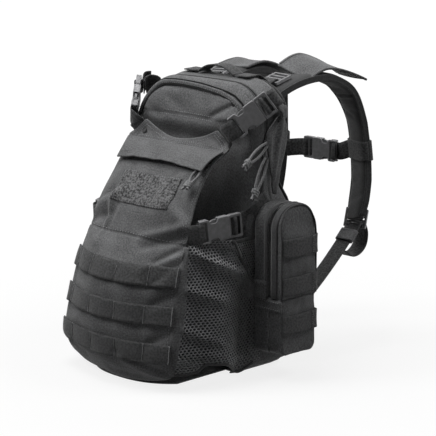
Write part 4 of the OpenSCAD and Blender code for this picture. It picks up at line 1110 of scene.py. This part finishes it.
for side, sign in both_sides:
    for level, where, bar in (("upper", upper, upper_bar), ("lower", lower, lower_bar)):
        moulding(f"{level}_buckle_female_{side}", female_solids, moved(where, bar), sign, "flap",
                 f"{level}_female_{side}")
        moulding(f"{level}_buckle_male_{side}", male_solids, moved(where, bar), sign, f"{level}_male_{side}",
                 f"{level}_male_{side}")
moulding("sternum_buckle_female", female_solids, chest, 1, "harness", "sternum_female")
moulding("sternum_buckle_male", male_solids, chest, 1, "sternum_male", "sternum_male")

# Flap straps
# Webbing: a stub sewn to the flap and looped round each female's bar, and a longer strap from the
# body that is threaded through each male's ladder.


def placed(where, rows):
    """Points of a buckle frame, given as (x, z) rows."""
    o, x, y, z = where
    rows = np.asarray(rows, float)
    return o + rows[:, :1] * x + rows[:, 1:] * z


def bar_loop(x):
    """Round the female's bar and back under itself."""
    return [(x - 5, 8.6), (x + 3.6, 8.6), (x + 6.0, 7.4), (x + 6.4, 5), (x + 6.0, 2.2), (x + 3.6, 0.9),
            (x - 2, 0.9)]


def ladder_loop(x, tail=()):
    """Up through the male's ladder, over its middle bar and out below, then on along a tail if given."""
    return [(x + 6.4, 1.6), (x + 6.4, 8.0), (x + 7.4, 9.7), (x + 9.4, 9.7), (x + 10.7, 8.0), (x + 10.8, 0.8),
            (x + 12.6, -0.6), (x + 14.4, -0.8), *[(x + a, b) for a, b in tail]]


# each stub comes out from behind the flap's edge
upper_start = np.concatenate([[flap_skin(0.77, 308.0, -3.6), flap_skin(0.86, 319.5, -3.2)],
                              placed(upper, [(9, 2.4)])])
lower_start = np.stack([flap_skin(0.90, 203.0, -3.4), flap_skin(0.96, 203.0, -3.0),
                        flap_skin(1.0, 203.4, -1.0)])
upper_end = np.array([(126.0, 86, 356), (122.5, 90, 348), (117.0, 92, 340)])
lower_end = np.array((121.95, 41, 227))
web_w, web_t = 25, 1.6
upper_spare = ((20, -0.8), (26, -1.6), (29.5, -4.8), (31, -11))
upper_path = np.concatenate([placed(upper, [(74, -3.4), (81, -3.9), (86, -8.5), (87.5, -14)]), upper_end])
lower_path = np.concatenate([placed(lower, [(70, -3.6), (82, -4.4), (92, -5.2), (100, -3.6)]),
                             [lower_end, lower_end + (0, 20, 14)]])
# for each level: the buckle's frame, where its bar is, and the stub's start and how it lies there
stubs = {"upper": (upper, upper_bar, upper_start, [(-0.79, 0.07, 0.6)] * 2 + [(-0.6, -0.2, 0.75)]),
         "lower": (lower, lower_bar, lower_start, [(0, 0, 1)] * 3)}
# the buckle's frame, where its ladder is, the spare end, the strap's path and how it lies, and two places
# along it, between its end on the pack and its end on the flap
threaded_w = 24.5
upper_ladder, lower_ladder, chest_ladder = 64.4, 60.4, 42.4
straps = {
    "upper": (upper, upper_ladder, upper_spare, upper_path,
              [upper[2]] * 4 + [(-0.5, 0.74, 0.2), (-0.4, 0.8, 0.1), (-0.3, 0.9, 0)],
              (0.125, 0.090, 0.345), (0.118, 0.066, 0.372)),
    "lower": (lower, lower_ladder, (), lower_path,
              [lower[2]] * 3 + [(0, -0.2, 0.98), (0, -0.45, 0.9), (0, -0.5, 0.86)],
              (0.122, 0.036, 0.225), (0.113, 0.012, 0.211)),
}
for side, sign in both_sides:
    m = np.array((sign, 1, 1.0))
    for level, (where, at_bar, begin, lie) in stubs.items():
        bar = placed(where, bar_loop(at_bar))
        stub = ribbon(f"{level}_stub_{side}", np.concatenate([begin, bar]) * m,
                      np.array(lie + [where[2]] * len(bar)) * m, web_w, web_t, webbing, steps=5)
        fit(stub, "flap", "strap_stubs" if (level, sign) == ("upper", 1) else None)
    for level, (where, at_ladder, spare, path, lie, start, end) in straps.items():
        wrap = ribbon(f"{level}_threaded_{side}", placed(where, ladder_loop(at_ladder, spare)) * m,
                      where[2] * m, threaded_w, web_t, webbing, steps=5)
        fit(wrap, f"{level}_male_{side}")
        band = ribbon(f"{level}_webbing_{side}", path * m, np.array(lie) * m, web_w, web_t, webbing, steps=8)
        fit_between(band, "pack", "flap", tuple(start * m), tuple(end * m), "webbing",
                    f"{level}_strap_webbing" if sign > 0 else None)

# Side wings
# A flat tab of nylon at each upper side, sewn into the back seam, that the upper strap pulls on.
wing_t = np.linspace(0, 1, 40)
wing_front = np.stack([along([(0, 80), (0.22, 58), (0.5, 60), (0.75, 66), (1, 71)], wing_t),
                       along([(0, 347), (0.22, 326), (0.5, 300), (0.75, 274), (1, 244)], wing_t)], -1)
wing_back = np.stack([along([(0, 90), (0.22, 99), (0.5, 95), (0.75, 86), (1, 77)], wing_t),
                      along([(0, 346), (0.22, 331), (0.5, 303), (0.75, 275), (1, 243)], wing_t)], -1)
for side, sign in both_sides:
    q = np.linspace(0, 1, 16)[None, :, None]
    yz = wing_front[:, None] * (1 - q) + wing_back[:, None] * q
    out = 2.4 + dents(yz[..., 0], yz[..., 1], [(88, 344, 72, 268, 4, 2.6), (80, 330, 66, 290, 4, -1.6),
                                               (98, 334, 84, 276, 4, -1.2), (64, 322, 66, 290, 3, 2.2),
                                               (92, 312, 76, 250, 4, 1.6)])
    out = out + (1 - q[..., 0]) * np.sin(np.pi * wing_t)[:, None]
    g = points(sign * (side_x + out), yz[..., 0], yz[..., 1])
    wing = grid_piece(f"side_wing_{side}", g, pack_cloth, 2.0, faces=grid_faces(40, 16)[:, ::sign])
    fit(wing, "pack", "side_wings" if sign > 0 else None)

# Side pouches
# A boxy pouch on each side: a tray sewn to the pack, a fixed lower front and a front that folds down
# on a zip round its arched top. Three rows of webbing cross the front, and tape binds its front edge.
pouch_x, tray_x, front_x, face_x = 123.2, 148.16, 154.16, 175.2
pouch_yc, pouch_low, fold_z, pouch_top = 71.0, 34.0, 112.0, 235.0
pouch_half, pouch_mid, arch_mid = 35.5, np.array((0, 130)), np.array((0, 190))


def pouch_rim(off, cut, top=True, back=0.0):
    """The pouch's outline drawn in by off, from one side of the fold line round to the other: over the
    arched top, or round the foot. The back side is drawn in by back more."""
    hw = pouch_half - off
    r = (30 if top else 12) - min(off, 11.5)
    q = np.linspace(0, np.pi / 2, 14)
    end = (pouch_top - off) if top else (pouch_low + off)
    sign = 1 if top else -1
    line = np.linspace(cut, end - sign * r, 12)[:-1]
    half = np.concatenate([np.stack([0 * line + hw, line], -1),
                           np.stack([hw - r + r * np.cos(q), end - sign * r + sign * r * np.sin(q)], -1),
                           np.stack([np.linspace(hw - r, 0, 4)[1:], np.full(3, end)], -1)])
    rim = np.concatenate([half * (-1, 1), half[::-1][1:]])
    rim[:, 0] -= back * np.clip(rim[:, 0] / 30, 0, 1)
    return rim


def stood(x, rim):
    """An outline's points as part of the right pouch, x out from the pack's middle."""
    return np.c_[np.full(len(rim), x), rim + (pouch_yc, 0)]


def lean_in(z):
    """How far the front falls back towards its top."""
    return 7.0 * np.clip((z - 190) / 45, 0, 1) ** 1.4


def pouch_shell(cut, top, x0, x1, r, crown, wave):
    """Walls standing out from the outline, drawn in at the back, a rounded corner, and a crowned face closing
    to the middle of the fold line."""
    slope = 4.5
    rows = [stood(x0 + (x1 - r - x0) * t, pouch_rim(0, cut, top, slope * t * t))
            for t in np.linspace(0, 1, 9)]
    rows += [stood(x1 - r + r * math.sin(q), pouch_rim(r * (1 - math.cos(q)), cut, top, slope))
             for q in np.linspace(0, np.pi / 2, 6)[1:]]
    edge = pouch_rim(r, cut, top, slope)
    rows += [stood(x1 + crown * (1 - k ** 2), np.array((0, cut)) + (edge - (0, cut)) * k)
             for k in np.linspace(1, 0.002, 16)[1:]]
    g = np.array(rows)
    inside = np.clip((g[..., 0] - x0) / 6, 0, 1)
    g[..., 0] += inside * (waves(g[..., 1] / 70, g[..., 2] / 110, wave) - lean_in(g[..., 2]))
    g[..., 0] += inside * dents(g[..., 1], g[..., 2], face_folds)
    near = np.clip((pouch_yc - 22 - g[..., 1]) / 12, 0, 1)
    g[..., 1] -= near * dents(g[..., 0], g[..., 2], side_folds)
    return g


# soft folds: between the rows on the face, and low on the side that faces the flap
face_folds = [(38, 214, 104, 206, 7, -1.4), (42, 156, 92, 150, 5, 1.2), (40, 104, 98, 102, 5, -1.0),
              (44, 62, 66, 40, 4, 1.6), (60, 62, 92, 46, 4, -1.4), (50, 58, 80, 36, 4, -1.2)]
side_folds = [(133, 46, 158, 58, 3, 2.2), (138, 40, 168, 48, 4, -2.0), (150, 88, 170, 84, 5, 1.2)]


def outward(verts, faces, centre):
    """Turns a roughly convex piece's faces so that they point away from its middle."""
    v, f = np.asarray(verts).reshape(-1, 3), np.asarray(faces)
    n = np.cross(v[f[:, 1]] - v[f[:, 0]], v[f[:, 2]] - v[f[:, 0]])
    return f if (n * (v[f].mean(1) - centre)).sum() > 0 else f[:, ::-1]


rim_tape = woven_finish("pouch_tape", ribs, 0.05, 0.075, rough=0.7, sheen=0.3, depth=0.00025)
for side, sign in both_sides:
    m = np.array((sign, 1, 1.0))
    core = np.array((sign * 150, pouch_yc, 130.0))
    folding = f"pouch_front_{side}"

    def place(name, g, finish, body, slot, node=None, thick=2.4):
        """A grid of the right pouch's points as a piece of this side's pouch."""
        faces = outward(g * m, grid_faces(*g.shape[:2]), core)
        return fit(grid_piece(f"{name}_{side}", g * m, finish, thick, faces=faces), body, node)

    # tray: from the pack's wall out to the zip, its side face soft and a little full
    loop = np.concatenate([pouch_rim(0, fold_z, True), pouch_rim(0, fold_z, False)[::-1][1:-1]])
    loop = np.concatenate([loop, loop[:1]])
    bulge = 0.9 * np.sin(np.pi * np.linspace(0, 1, 9))
    rows = [stood(pouch_x + 0.2, (loop - pouch_mid) * k + pouch_mid) for k in (0.01, 0.5, 0.96)]
    rows += [stood(pouch_x + 0.2 + (tray_x - pouch_x - 0.2) * t, (loop - pouch_mid) * (1 + b / 60)
                   + pouch_mid) for t, b in zip(np.linspace(0, 1, 9), bulge)]
    place("pouch_tray", np.array(rows), pack_cloth, "pack", "body_fabric", f"pouch_back_{side}")
    cover = pouch_shell(fold_z + 0.6, True, front_x - 0.2, face_x - 1.6, 3.4, 1.6,
                        [(0.7, 0.8, 0.9, 0.4), (0.5, -1.1, 2.1, 1.0)])
    place("pouch_cover", cover, pack_cloth, folding, "body_fabric", folding)
    foot = pouch_shell(fold_z - 0.2, False, tray_x + 0.2, face_x - 1.8, 3.4, 1.4,
                       [(0.8, 0.9, -0.8, 1.4), (0.5, 1.3, 1.7, 0.2)])
    place("pouch_foot", foot, pack_cloth, "pack", "body_fabric", f"pouch_lower_{side}")
    # the zip: two tapes with a coil between them, then the bound edge of the front
    over = pouch_rim(1.0, fold_z + 1, True)
    tapes = (("pouch_tape_back", tray_x - 0.4, tray_x + 2.7, "pack", "pouch_zip_tapes"),
             ("pouch_tape_front", front_x - 2.7, front_x + 0.4, folding, None))
    for name, x0, x1, body, node in tapes:
        g = np.array([stood(x0 + (x1 - x0) * t, over) for t in (0, 0.5, 1)])
        place(name, g, zip_tape_and_gap_shade, body, "zip_tape", node if sign > 0 else None, 1.0)
    line = stood(tray_x + 2.6, over) * m
    normal = np.c_[0 * over[:, 0], unit(over - arch_mid)]
    zip_coil(f"pouch_coil_{side}", line, normal, 2.2, "pack")
    for name, x, off, drawn, wide, finish in (("pouch_rim_tape", front_x + 5.6, -0.7, 0.6, 10.5, rim_tape),
                                              ("pouch_rim_welt", face_x - 2.4, 0.4, 4.5, 2.6, tape_finish)):
        rim = pouch_rim(off, fold_z + 1, True, drawn)
        tape = ribbon(f"{name}_{side}", stood(x - lean_in(rim[:, 1]) * (x > 170), rim) * m, (1.0, 0, 0), wide,
                      1.3, finish, steps=1, bow=-0.5 * sign)
        fit(tape, folding)
    back = pouch_rim(-0.6, fold_z + 1, True)
    tape = ribbon(f"pouch_tray_tape_{side}", stood(tray_x - 3.6, back) * m, (1.0, 0, 0),
                  6.0, 1.2, rim_tape, steps=1, across=3)
    fit(tape, "pack")
    # the zip's garage: a stitched band across the near side at the fold, and a folded tab above it
    y0 = pouch_yc - pouch_half
    for name, z, x0, x1, wide, lift in (("pouch_garage_band", 102.5, 124, 173.6, 15, 0.9),
                                        ("pouch_garage_tab", 122.0, 124, 147, 25, 2.4)):
        xs = np.linspace(x0, x1, 12)
        band = ribbon(f"{name}_{side}", points(xs, y0 - lift, z) * m, (0, 0, 1.0), wide, 1.4,
                      pack_cloth, steps=1, bow=-0.6 * sign)
        fit(band, "pack")
    # rows of webbing over the face, tucked into the front seam and wrapped round the far edge
    for name, z, body, node in (("low", 77.0, "pack", "pouch_lower_webbing" if sign > 0 else None),
                                ("mid", 129.0, folding, f"pouch_front_webbing_{side}"),
                                ("top", 181.0, folding, None)):
        ys = np.linspace(-34.6, 29.4, 40)
        xs = (face_x + 0.9 - 1.9 * np.abs(ys / 36) ** 6
              + 1.4 * np.abs(np.sin(np.pi * (ys + 34) / 52)) * (ys < 18))
        far_edge = [(face_x - 1.4, 32.6, z), (face_x - 4.4, 34.2, z), (face_x - 10, 35.4, z),
                    (face_x - 15, 36.2, z)]
        path = np.concatenate([points(xs, ys, z), far_edge])
        path[:, 1] += pouch_yc
        row = ribbon(f"pouch_row_{name}_{side}", path * m, (0, -0.02, 1.0), 25, 1.5, webbing, steps=2,
                     across=7, bow=-0.5 * sign)
        fit(row, body, node)
        zz = z + np.linspace(-11.5, 11.5, 12)
        run = [(points(face_x + 2.0, pouch_yc + y, zz) * m, (sign, 0, 0), 2.4, 2.0, 0.9)
               for y in (21.0, 22.4)]
        sew(f"pouch_row_tacks_{name}_{side}", run, body)
    runs = []
    for x, drawn in ((front_x + 2.2, 0.1), (front_x + 9.2, 1.4)):
        rim = pouch_rim(-1.2, fold_z + 2, True, drawn)
        runs.append((stood(x, rim) * m, np.c_[0 * rim[:, 0], unit(rim - arch_mid)], *plain_stitch))
    sew(f"pouch_rim_stitches_{side}", runs, folding)
    xs = np.linspace(126, 172, 30)
    sew(f"pouch_garage_stitches_{side}", [(points(xs, y0 - 2.2, z) * m, (0, -1, 0), *plain_stitch)
                                          for z in (98.0, 108.0)], "pack")

# Harness
# Two curved shoulder pads of foam between a smooth face and a creased lining, with a taped edge.
# They are sewn to a yoke on the back panel, and each carries a stiff panel, ladder-locks and webbing.
yoke_z, pad_k = 355.0, 179.0 / 210.0
near_twist, far_twist, near_sway, sleeve_out = -24.0, 25.0, 8.0, 7.6
pad_a = np.array([(4.6, 2), (40 * pad_k, 30), (156 * pad_k, 47), (191 * pad_k, 1)])
pad_b = np.array([(191 * pad_k, 1), (216 * pad_k, -32), (226 * pad_k, -130), (203 * pad_k, -182)])


def cubic(p, t):
    """A cubic curve from its four control points."""
    t = t[..., None]
    return (1 - t) ** 3 * p[0] + 3 * t * (1 - t) ** 2 * p[1] + 3 * t ** 2 * (1 - t) * p[2] + t ** 3 * p[3]


def pad_c(t):
    """Middle line of the right pad; t runs from 0 at the yoke to 2 at the tip."""
    t = np.clip(np.asarray(t, float), 0, 2)
    yz = np.where((t < 1)[..., None], cubic(pad_a, np.minimum(t, 1)), cubic(pad_b, np.clip(t - 1, 0, 1)))
    return points(52 + 16 * t, back_y + yz[..., 0], yoke_z + yz[..., 1])


def pad_axes(t, twist=far_twist):
    """Along, outward and across directions of the pad; its lower part is twisted by so many degrees."""
    t = np.asarray(t, float)
    d = unit(pad_c(t + 0.02) - pad_c(t - 0.02))
    n = unit(points(0 * t, -d[..., 2], d[..., 1]))
    q = np.clip((t - 0.6) / 0.8, 0, 1)
    turn = np.radians(twist) * (q * q * (3 - 2 * q))
    n = n * np.cos(turn)[..., None] - np.cross(d, n) * np.sin(turn)[..., None]
    return d, n, np.cross(d, n)


def power(v, k):
    """Signed power, for rounded-box cross-sections."""
    return np.sign(v) * np.abs(v) ** k


elastic = woven_finish("elastic", ribs, 0.12, 0.2, rough=0.75, sheen=0.4, depth=0.0004)
pad_cloth = woven_finish("pad_cloth", thread, 0.035, 0.055, rough=0.75, sheen=0.25, per_metre=700)


def pad_half(t):
    """Half the pad's width, which tapers and narrows at the tip."""
    return 30 * (1 - 0.1 * t) * np.interp(t, (1.85, 2), (1, 0.82))


def pad_sway(t, sign):
    """How far the near pad swings out of its curve; the far one keeps to it."""
    return (near_sway if sign > 0 else 0.0) * np.interp(t, (0.8, 1.3, 1.7, 2), (0, 1, 0.9, 0.2))


t_rows = np.concatenate([np.zeros(4), np.linspace(0, 2, 150), np.full(4, 2.0)])
shrink = np.concatenate([[0.02, 0.4, 0.7, 0.88], np.ones(150), [0.9, 0.72, 0.42, 0.02]])
q = np.linspace(0, 2 * np.pi, 49)[:-1]
box = power(np.cos(q), 0.45)
wide = pad_half(t_rows)[:, None] * shrink[:, None] * box[None, :]
# the lining creases where the pad turns over the shoulder and below the sleeve
under = np.clip(-np.sin(q), 0, 1) ** 0.5
creases = [(40, -20, 46, 24, 2.0, -1.2), (70, -28, 76, 10, 2.2, -1.6), (90, -10, 97, 30, 2.4, -1.8),
           (99, -30, 106, 28, 1.8, -3.0), (106, -26, 112, 22, 2.2, -2.2), (118, -30, 122, 14, 1.5, -1.4),
           (125, -8, 122, 28, 1.3, -2.6), (162, -4, 165, 22, 1.3, -2.6), (170, -2, 174, 20, 1.4, -2.2),
           (180, -20, 186, 16, 2.0, -1.4)]
tall = 7.0 + under[None, :] * (dents(100 * t_rows[:, None] + 0 * wide, wide, creases)
                               + 0.4 * np.sin(t_rows * 31)[:, None])
high = (tall * shrink[:, None] * power(np.sin(q), 0.7)[None, :]
        * (0.72 + 0.28 * (1 - np.abs(box) ** 6))[None, :])


def hoop(name, middle, axes, halves, corners, reach, counts, finish, thick, m):
    """A band round a strap: a rounded box across the first two axes, carried along the third by reach each
    way. Corners are the powers that round it."""
    across, out, d = axes
    q = np.linspace(0, 2 * np.pi, counts[0])
    loop = (middle + across * (power(np.cos(q), corners[0]) * halves[0])[:, None]
            + out * (power(np.sin(q), corners[1]) * halves[1])[:, None])
    band = np.stack([loop + d * w for w in np.linspace(-reach, reach, counts[1])], 1) * m
    return grid_piece(name, band, finish, thick, 1.0, outward(band, grid_faces(*counts), middle * m))


# frames of the upper and the lower ladder-lock: three axes and the origin, as columns
lifter = np.array([[0.0889626, -0.996035, 0, 56.32], [0.948309, 0.0846999, -0.305836, 145.524],
                   [0.304624, 0.027208, 0.952084, 383.772]])
lock = np.array([[0.0944273, -0.902258, -0.42073, 79.9301], [-0.33718, -0.426626, 0.839226, 288.598],
                 [-0.936693, 0.0626161, -0.344509, 172.709]])


def on(axes, rows):
    """Points of a ladder-lock's frame, given as (x, z) rows."""
    rows = np.asarray(rows, float)
    return axes[:, 3] + rows[:, :1] * axes[:, 0] + rows[:, 1:] * axes[:, 2]


# the straps hang loose, so both are twisted the same way
for side, sign, twist in (("right", 1, near_twist), ("left", -1, far_twist)):
    m = np.array((sign, 1, 1.0))
    d, n, x = pad_axes(t_rows, twist)
    pad = ((pad_c(t_rows) + n * pad_sway(t_rows, sign)[:, None])[:, None]
           - x[:, None] * wide[..., None] + n[:, None] * high[..., None])
    pad_uv = np.stack(np.broadcast_arrays(run_length(pad, 0)[:, None], (q * 24)[None, :]), -1).reshape(-1, 2)
    faces = grid_faces(len(t_rows), len(q), wrap_v=True)
    obj = new_piece(f"shoulder_pad_cloth_{side}", (pad * m).reshape(-1, 3), faces[:, ::-sign], pad_cloth,
                    pad_uv)
    fit(obj, "harness", f"shoulder_pad_{side}")
    tt = np.linspace(0.08, 1.97, 120)
    _, nn, xx = pad_axes(tt, twist)
    middle = pad_c(tt) + nn * pad_sway(tt, sign)[:, None]
    for edge, s in (("inner", -1), ("outer", 1)):
        tape = ribbon(f"pad_binding_{edge}_{side}", (middle - xx * (s * (pad_half(tt) + 0.3))[:, None]) * m,
                      nn * m, 9.0, 1.4, tape_finish, steps=1, bow=0.9 * s * sign)
        fit(tape, "harness")
    # stiff panel: rises from the pad behind the upper lock to a crest, and its far end stands free
    crest = 20.35 if sign > 0 else 12.0
    foot, peak = pad_c(0.43) + pad_axes(0.43)[1] * 8.35, pad_c(0.62) + pad_axes(0.62)[1] * crest
    s = np.linspace(0, 1, 40)[:, None]
    up = np.minimum(s / 0.4, 1)
    rise = foot + (peak - foot) * np.concatenate([up, up, np.sin(np.pi / 2 * up)], 1)
    far = np.maximum((s - 0.4) / 0.6, 0)
    path = rise + np.concatenate([8 * far, 84 * pad_k * far, -31 * pad_k * far ** 1.5], 1)
    sink = -np.interp(s, (0, 0.4, 1), (0.4, 0.3, 0.1)) if sign > 0 else 0 * s
    roll = np.concatenate([1 + 0 * s, 0 * s, sink], 1)
    plate = ribbon(f"strap_panel_cloth_{side}", path * m, roll * m, 56, 2.4, pack_cloth, steps=1, across=13,
                   bow=1.2 * sign)
    fit(plate, "harness", "strap_panels" if sign > 0 else None)
    for s_edge, edge in ((-1, "inner"), (1, "outer")):
        tape = ribbon(f"strap_panel_edge_{edge}_{side}", (path + s_edge * 27.2 * unit(roll) + (0, 0, 0.2))
                      * m, roll * m, 3.4, 3.0, pack_cloth, steps=1, across=3)
        fit(tape, "harness")
    # sleeve: a band of webbing round the pad that holds the sternum strap
    c = pad_c(1.5)
    d15, n15, x15 = pad_axes(1.5, twist)
    c = c + n15 * (sleeve_out if sign > 0 else 0.0)
    obj = hoop(f"strap_sleeve_band_{side}", c, (x15, n15, d15), (27.2, 8.4), (0.5, 0.6), 14, (65, 9), webbing,
               1.6, m)
    fit(obj, "harness", "strap_sleeves" if sign > 0 else None)
    # webbing: load lifter from the pack's top edge to the upper lock, strap from the lower lock to
    # the pack's foot, and the spare end that hangs from the lock
    path = np.concatenate([[(50, 83, 394.2), (50, 95, 394.6), (50, 107.8, 394.3)],
                           on(lifter, [(-22, 6.6), (-9.6, 6.4), (-7.3, 4.6), (-7.1, 0.8)])])
    band = ribbon(f"load_lifter_{side}", path * m, (1.0, 0, 0), web_w, web_t, webbing, steps=5)
    fit_between(band, "pack", "harness", (sign * 0.05, 0.1, 0.39), (sign * 0.052, 0.13, 0.385), "webbing",
                "load_lifter_webbing" if sign > 0 else None)
    end = np.array((106.0, 108.6, 58.0))
    start = on(lock, [(10.5, -5)])[0]
    k = np.arange(8)[:, None] / 8
    path = np.concatenate([on(lock, [(8.8, 4), (8.7, -2)]), start + (end - start) * k - np.array((0, 0, 30))
                           * k * (1 - k), [end + (0, 6, 3), end - (0, 0, 14)]])
    band = ribbon(f"shoulder_strap_{side}", path * m, (1.0, 0, 0), web_w, web_t, webbing, steps=5)
    handover = (sign * 0.106, 0.12, 0.06), (sign * 0.082, 0.28, 0.155)
    fit_between(band, "pack", "harness", *handover, "webbing", "shoulder_webbing" if sign > 0 else None)
    # an elastic keeper round the strap just under the lock
    along_strap = unit(end - start - np.array((0, 0, 27)))
    flat_of = unit(np.cross(along_strap, (1.0, 0, 0)))
    mid = start + (end - start) * 0.1 - np.array((0, 0, 2.7))
    keeper = hoop(f"strap_keeper_{side}", mid, (np.array((1.0, 0, 0)), flat_of, along_strap), (14.0, 2.8),
                  (0.3, 0.5), 10, (49, 7), elastic, 1.2, m)
    fit_between(keeper, "pack", "harness", *handover, "webbing")
    c = on(lock, [(1.5, 7.4)])
    path = np.concatenate([on(lock, [(1.5, 1)]), c,
                           c + np.array([(0, 7, -8), (0, 11, -22), (0, 7, -38), (0, -6, -48), (0, -22, -49),
                                         (0, -34, -40)])])
    tail = ribbon(f"webbing_tail_{side}", path * m, (1.0, 0, 0), web_w, web_t, webbing, steps=7)
    fit(tail, "harness", "webbing_tails" if sign > 0 else None)

# Sternum strap
# Webbing from sleeve to sleeve, joined by a buckle in the middle.
chest_end = np.array((48.6, 278.0, 260.7))
_, out, across = pad_axes(1.5, near_twist)
near_end = pad_c(1.5) + out * sleeve_out - across * 26.0
strap = ribbon("sternum_strap_right",
               np.concatenate([[near_end, (near_end + placed(chest, [(-8, 6)])[0]) / 2],
                               placed(chest, bar_loop(0))]), (0, 0, 1.0), web_w, web_t, webbing, steps=6)
fit(strap, "harness", "sternum_webbing")
strap = ribbon("sternum_threaded", placed(chest, ladder_loop(chest_ladder)), (0, 0, 1.0), threaded_w, web_t,
               webbing, steps=5)
fit(strap, "sternum_male")
path = np.concatenate([placed(chest, [(54, -1.4), (62, -1.8)]),
                       [chest_end * (-1, 1, 1) + (4, 5, 1), chest_end * (-1, 1, 1)]])
strap = ribbon("sternum_strap_left", path, (0, 0, 1.0), web_w, web_t, webbing, steps=8)
fit_between(strap, "harness", "sternum_male", (-0.048, 0.280, 0.261), (-0.026, 0.291, 0.2635), "webbing")

# Yoke, back pads and inside
# The yoke is a stitched panel that carries both pads. Two long pads of foam under open mesh rest on
# the wearer's back. Inside, a sheet stiffens the back panel behind a plain sleeve.


def cushion(w, h, r, t0, t1, nu, nv):
    """A pad on a plane: a rounded outline, its height rising from t0 at the rim to t1 inside."""
    a = np.sin(np.pi / 2 * np.linspace(-1, 1, nu))[:, None]
    b = np.sin(np.pi / 2 * np.linspace(-1, 1, nv))[None, :]
    lo, hi = arch_ends(a * w / 2, w, h, r, r)
    return a * w / 2 + 0 * b, t0 + (t1 - t0) * dome(a, b), lo + (hi - lo) * (b + 1) / 2


pad_mesh = woven_finish("spacer_mesh", thread, 0.02, 0.06, rough=0.85, sheen=0.2, depth=0.0008, per_metre=330)
for side, sign in both_sides:
    cx, cy, cz = cushion(78, 255, 16, 3, 13, 61, 121)
    sewn = (sum(np.exp(-((cz - s) / 2.6) ** 2) for s in (51, 102, 153, 204))
            * np.clip(1 - (np.abs(cx) / 36) ** 8, 0, 1))
    ripple = waves(cx / 78, cz / 255, [(0.4, 1.2, 5.1, 0.2), (0.3, -2.0, 7.0, 1.0)])
    cy = cy - 5.5 * sewn + ripple * dome(cx / 39, cz / 127.5 - 1)
    g = points(-cx + sign * 50, back_y + 0.35 + cy, cz + 66)
    faces = outward(g, grid_faces(61, 121), (sign * 50, back_y - 60, 190))
    pad_obj = grid_piece(f"back_pad_{side}", g, pad_mesh, 2.0, faces=faces)
    fit(pad_obj, "pack", "back_pads" if sign > 0 else None)
    loop = arch(120, 1.5, 78, 255, 16, 16)
    rim = ribbon(f"back_pad_binding_{side}", points(loop[:, 0] + sign * 50, back_y + 2.6, loop[:, 1] + 66),
                 (0, 1.0, 0), 5.0, 1.6, tape_finish, steps=1, across=3)
    fit(rim, "pack")
cx, cy, cz = cushion(180, 44, 8, 1.5, 4.2, 61, 21)
g = points(-cx, back_y + 0.2 + cy, cz + 331)
yoke = grid_piece("yoke_cloth", g, pack_cloth, 1.6,
                  faces=outward(g, grid_faces(61, 21), (0, back_y - 60, 350)))
fit(yoke, "pack", "yoke")
yx, yz = np.linspace(-84, 84, 90), np.linspace(335, 371, 24)
rows = [(points(yx, back_y + 4.2, h), (0, 1, 0), *plain_stitch) for h in (336.5, 340, 366, 369.5)]
rows += [(points(s, back_y + 4.2, yz), (0, 1, 0), *plain_stitch) for s in (-84, 84)]
sew("yoke_stitches", rows, "pack")
q = np.linspace(0, 1, 60)[:, None]
lo, hi = arch_ends((2 * q - 1) * 92, 184, 243.7, 14, 14)
v = np.linspace(0, 1, 70)[None, :]
g = points((2 * q - 1) * 92 + 0 * v, 98.6 - 0.5 * np.sin(np.pi * v) * np.sin(np.pi * q),
           14 + lo + (hi - lo) * v)
sleeve = grid_piece("inner_sleeve_cloth", g, lining_cloth, 1.8)
fit(sleeve, "pack", "inner_sleeve")
sheet_nylon = moulded_finish("sheet_nylon", 0.012, 0.02)
ease_edges("frame_sheet", sheet_nylon, 0.5)

# Grab handle
# A short loop of webbing sewn down at both ends on the top edge.
u = np.linspace(-1, 1, 40)
path = points(u * 34, back_y - 14, 394.2 + 11 * np.maximum(0, 1 - np.abs(u) ** 2.6) ** 1.2)
handle = ribbon("grab_handle_webbing", path, (0, 1.0, 0), 21, 2.0, webbing, steps=1, across=7)
fit(handle, "pack", "grab_handle")

bpy.context.view_layer.update()
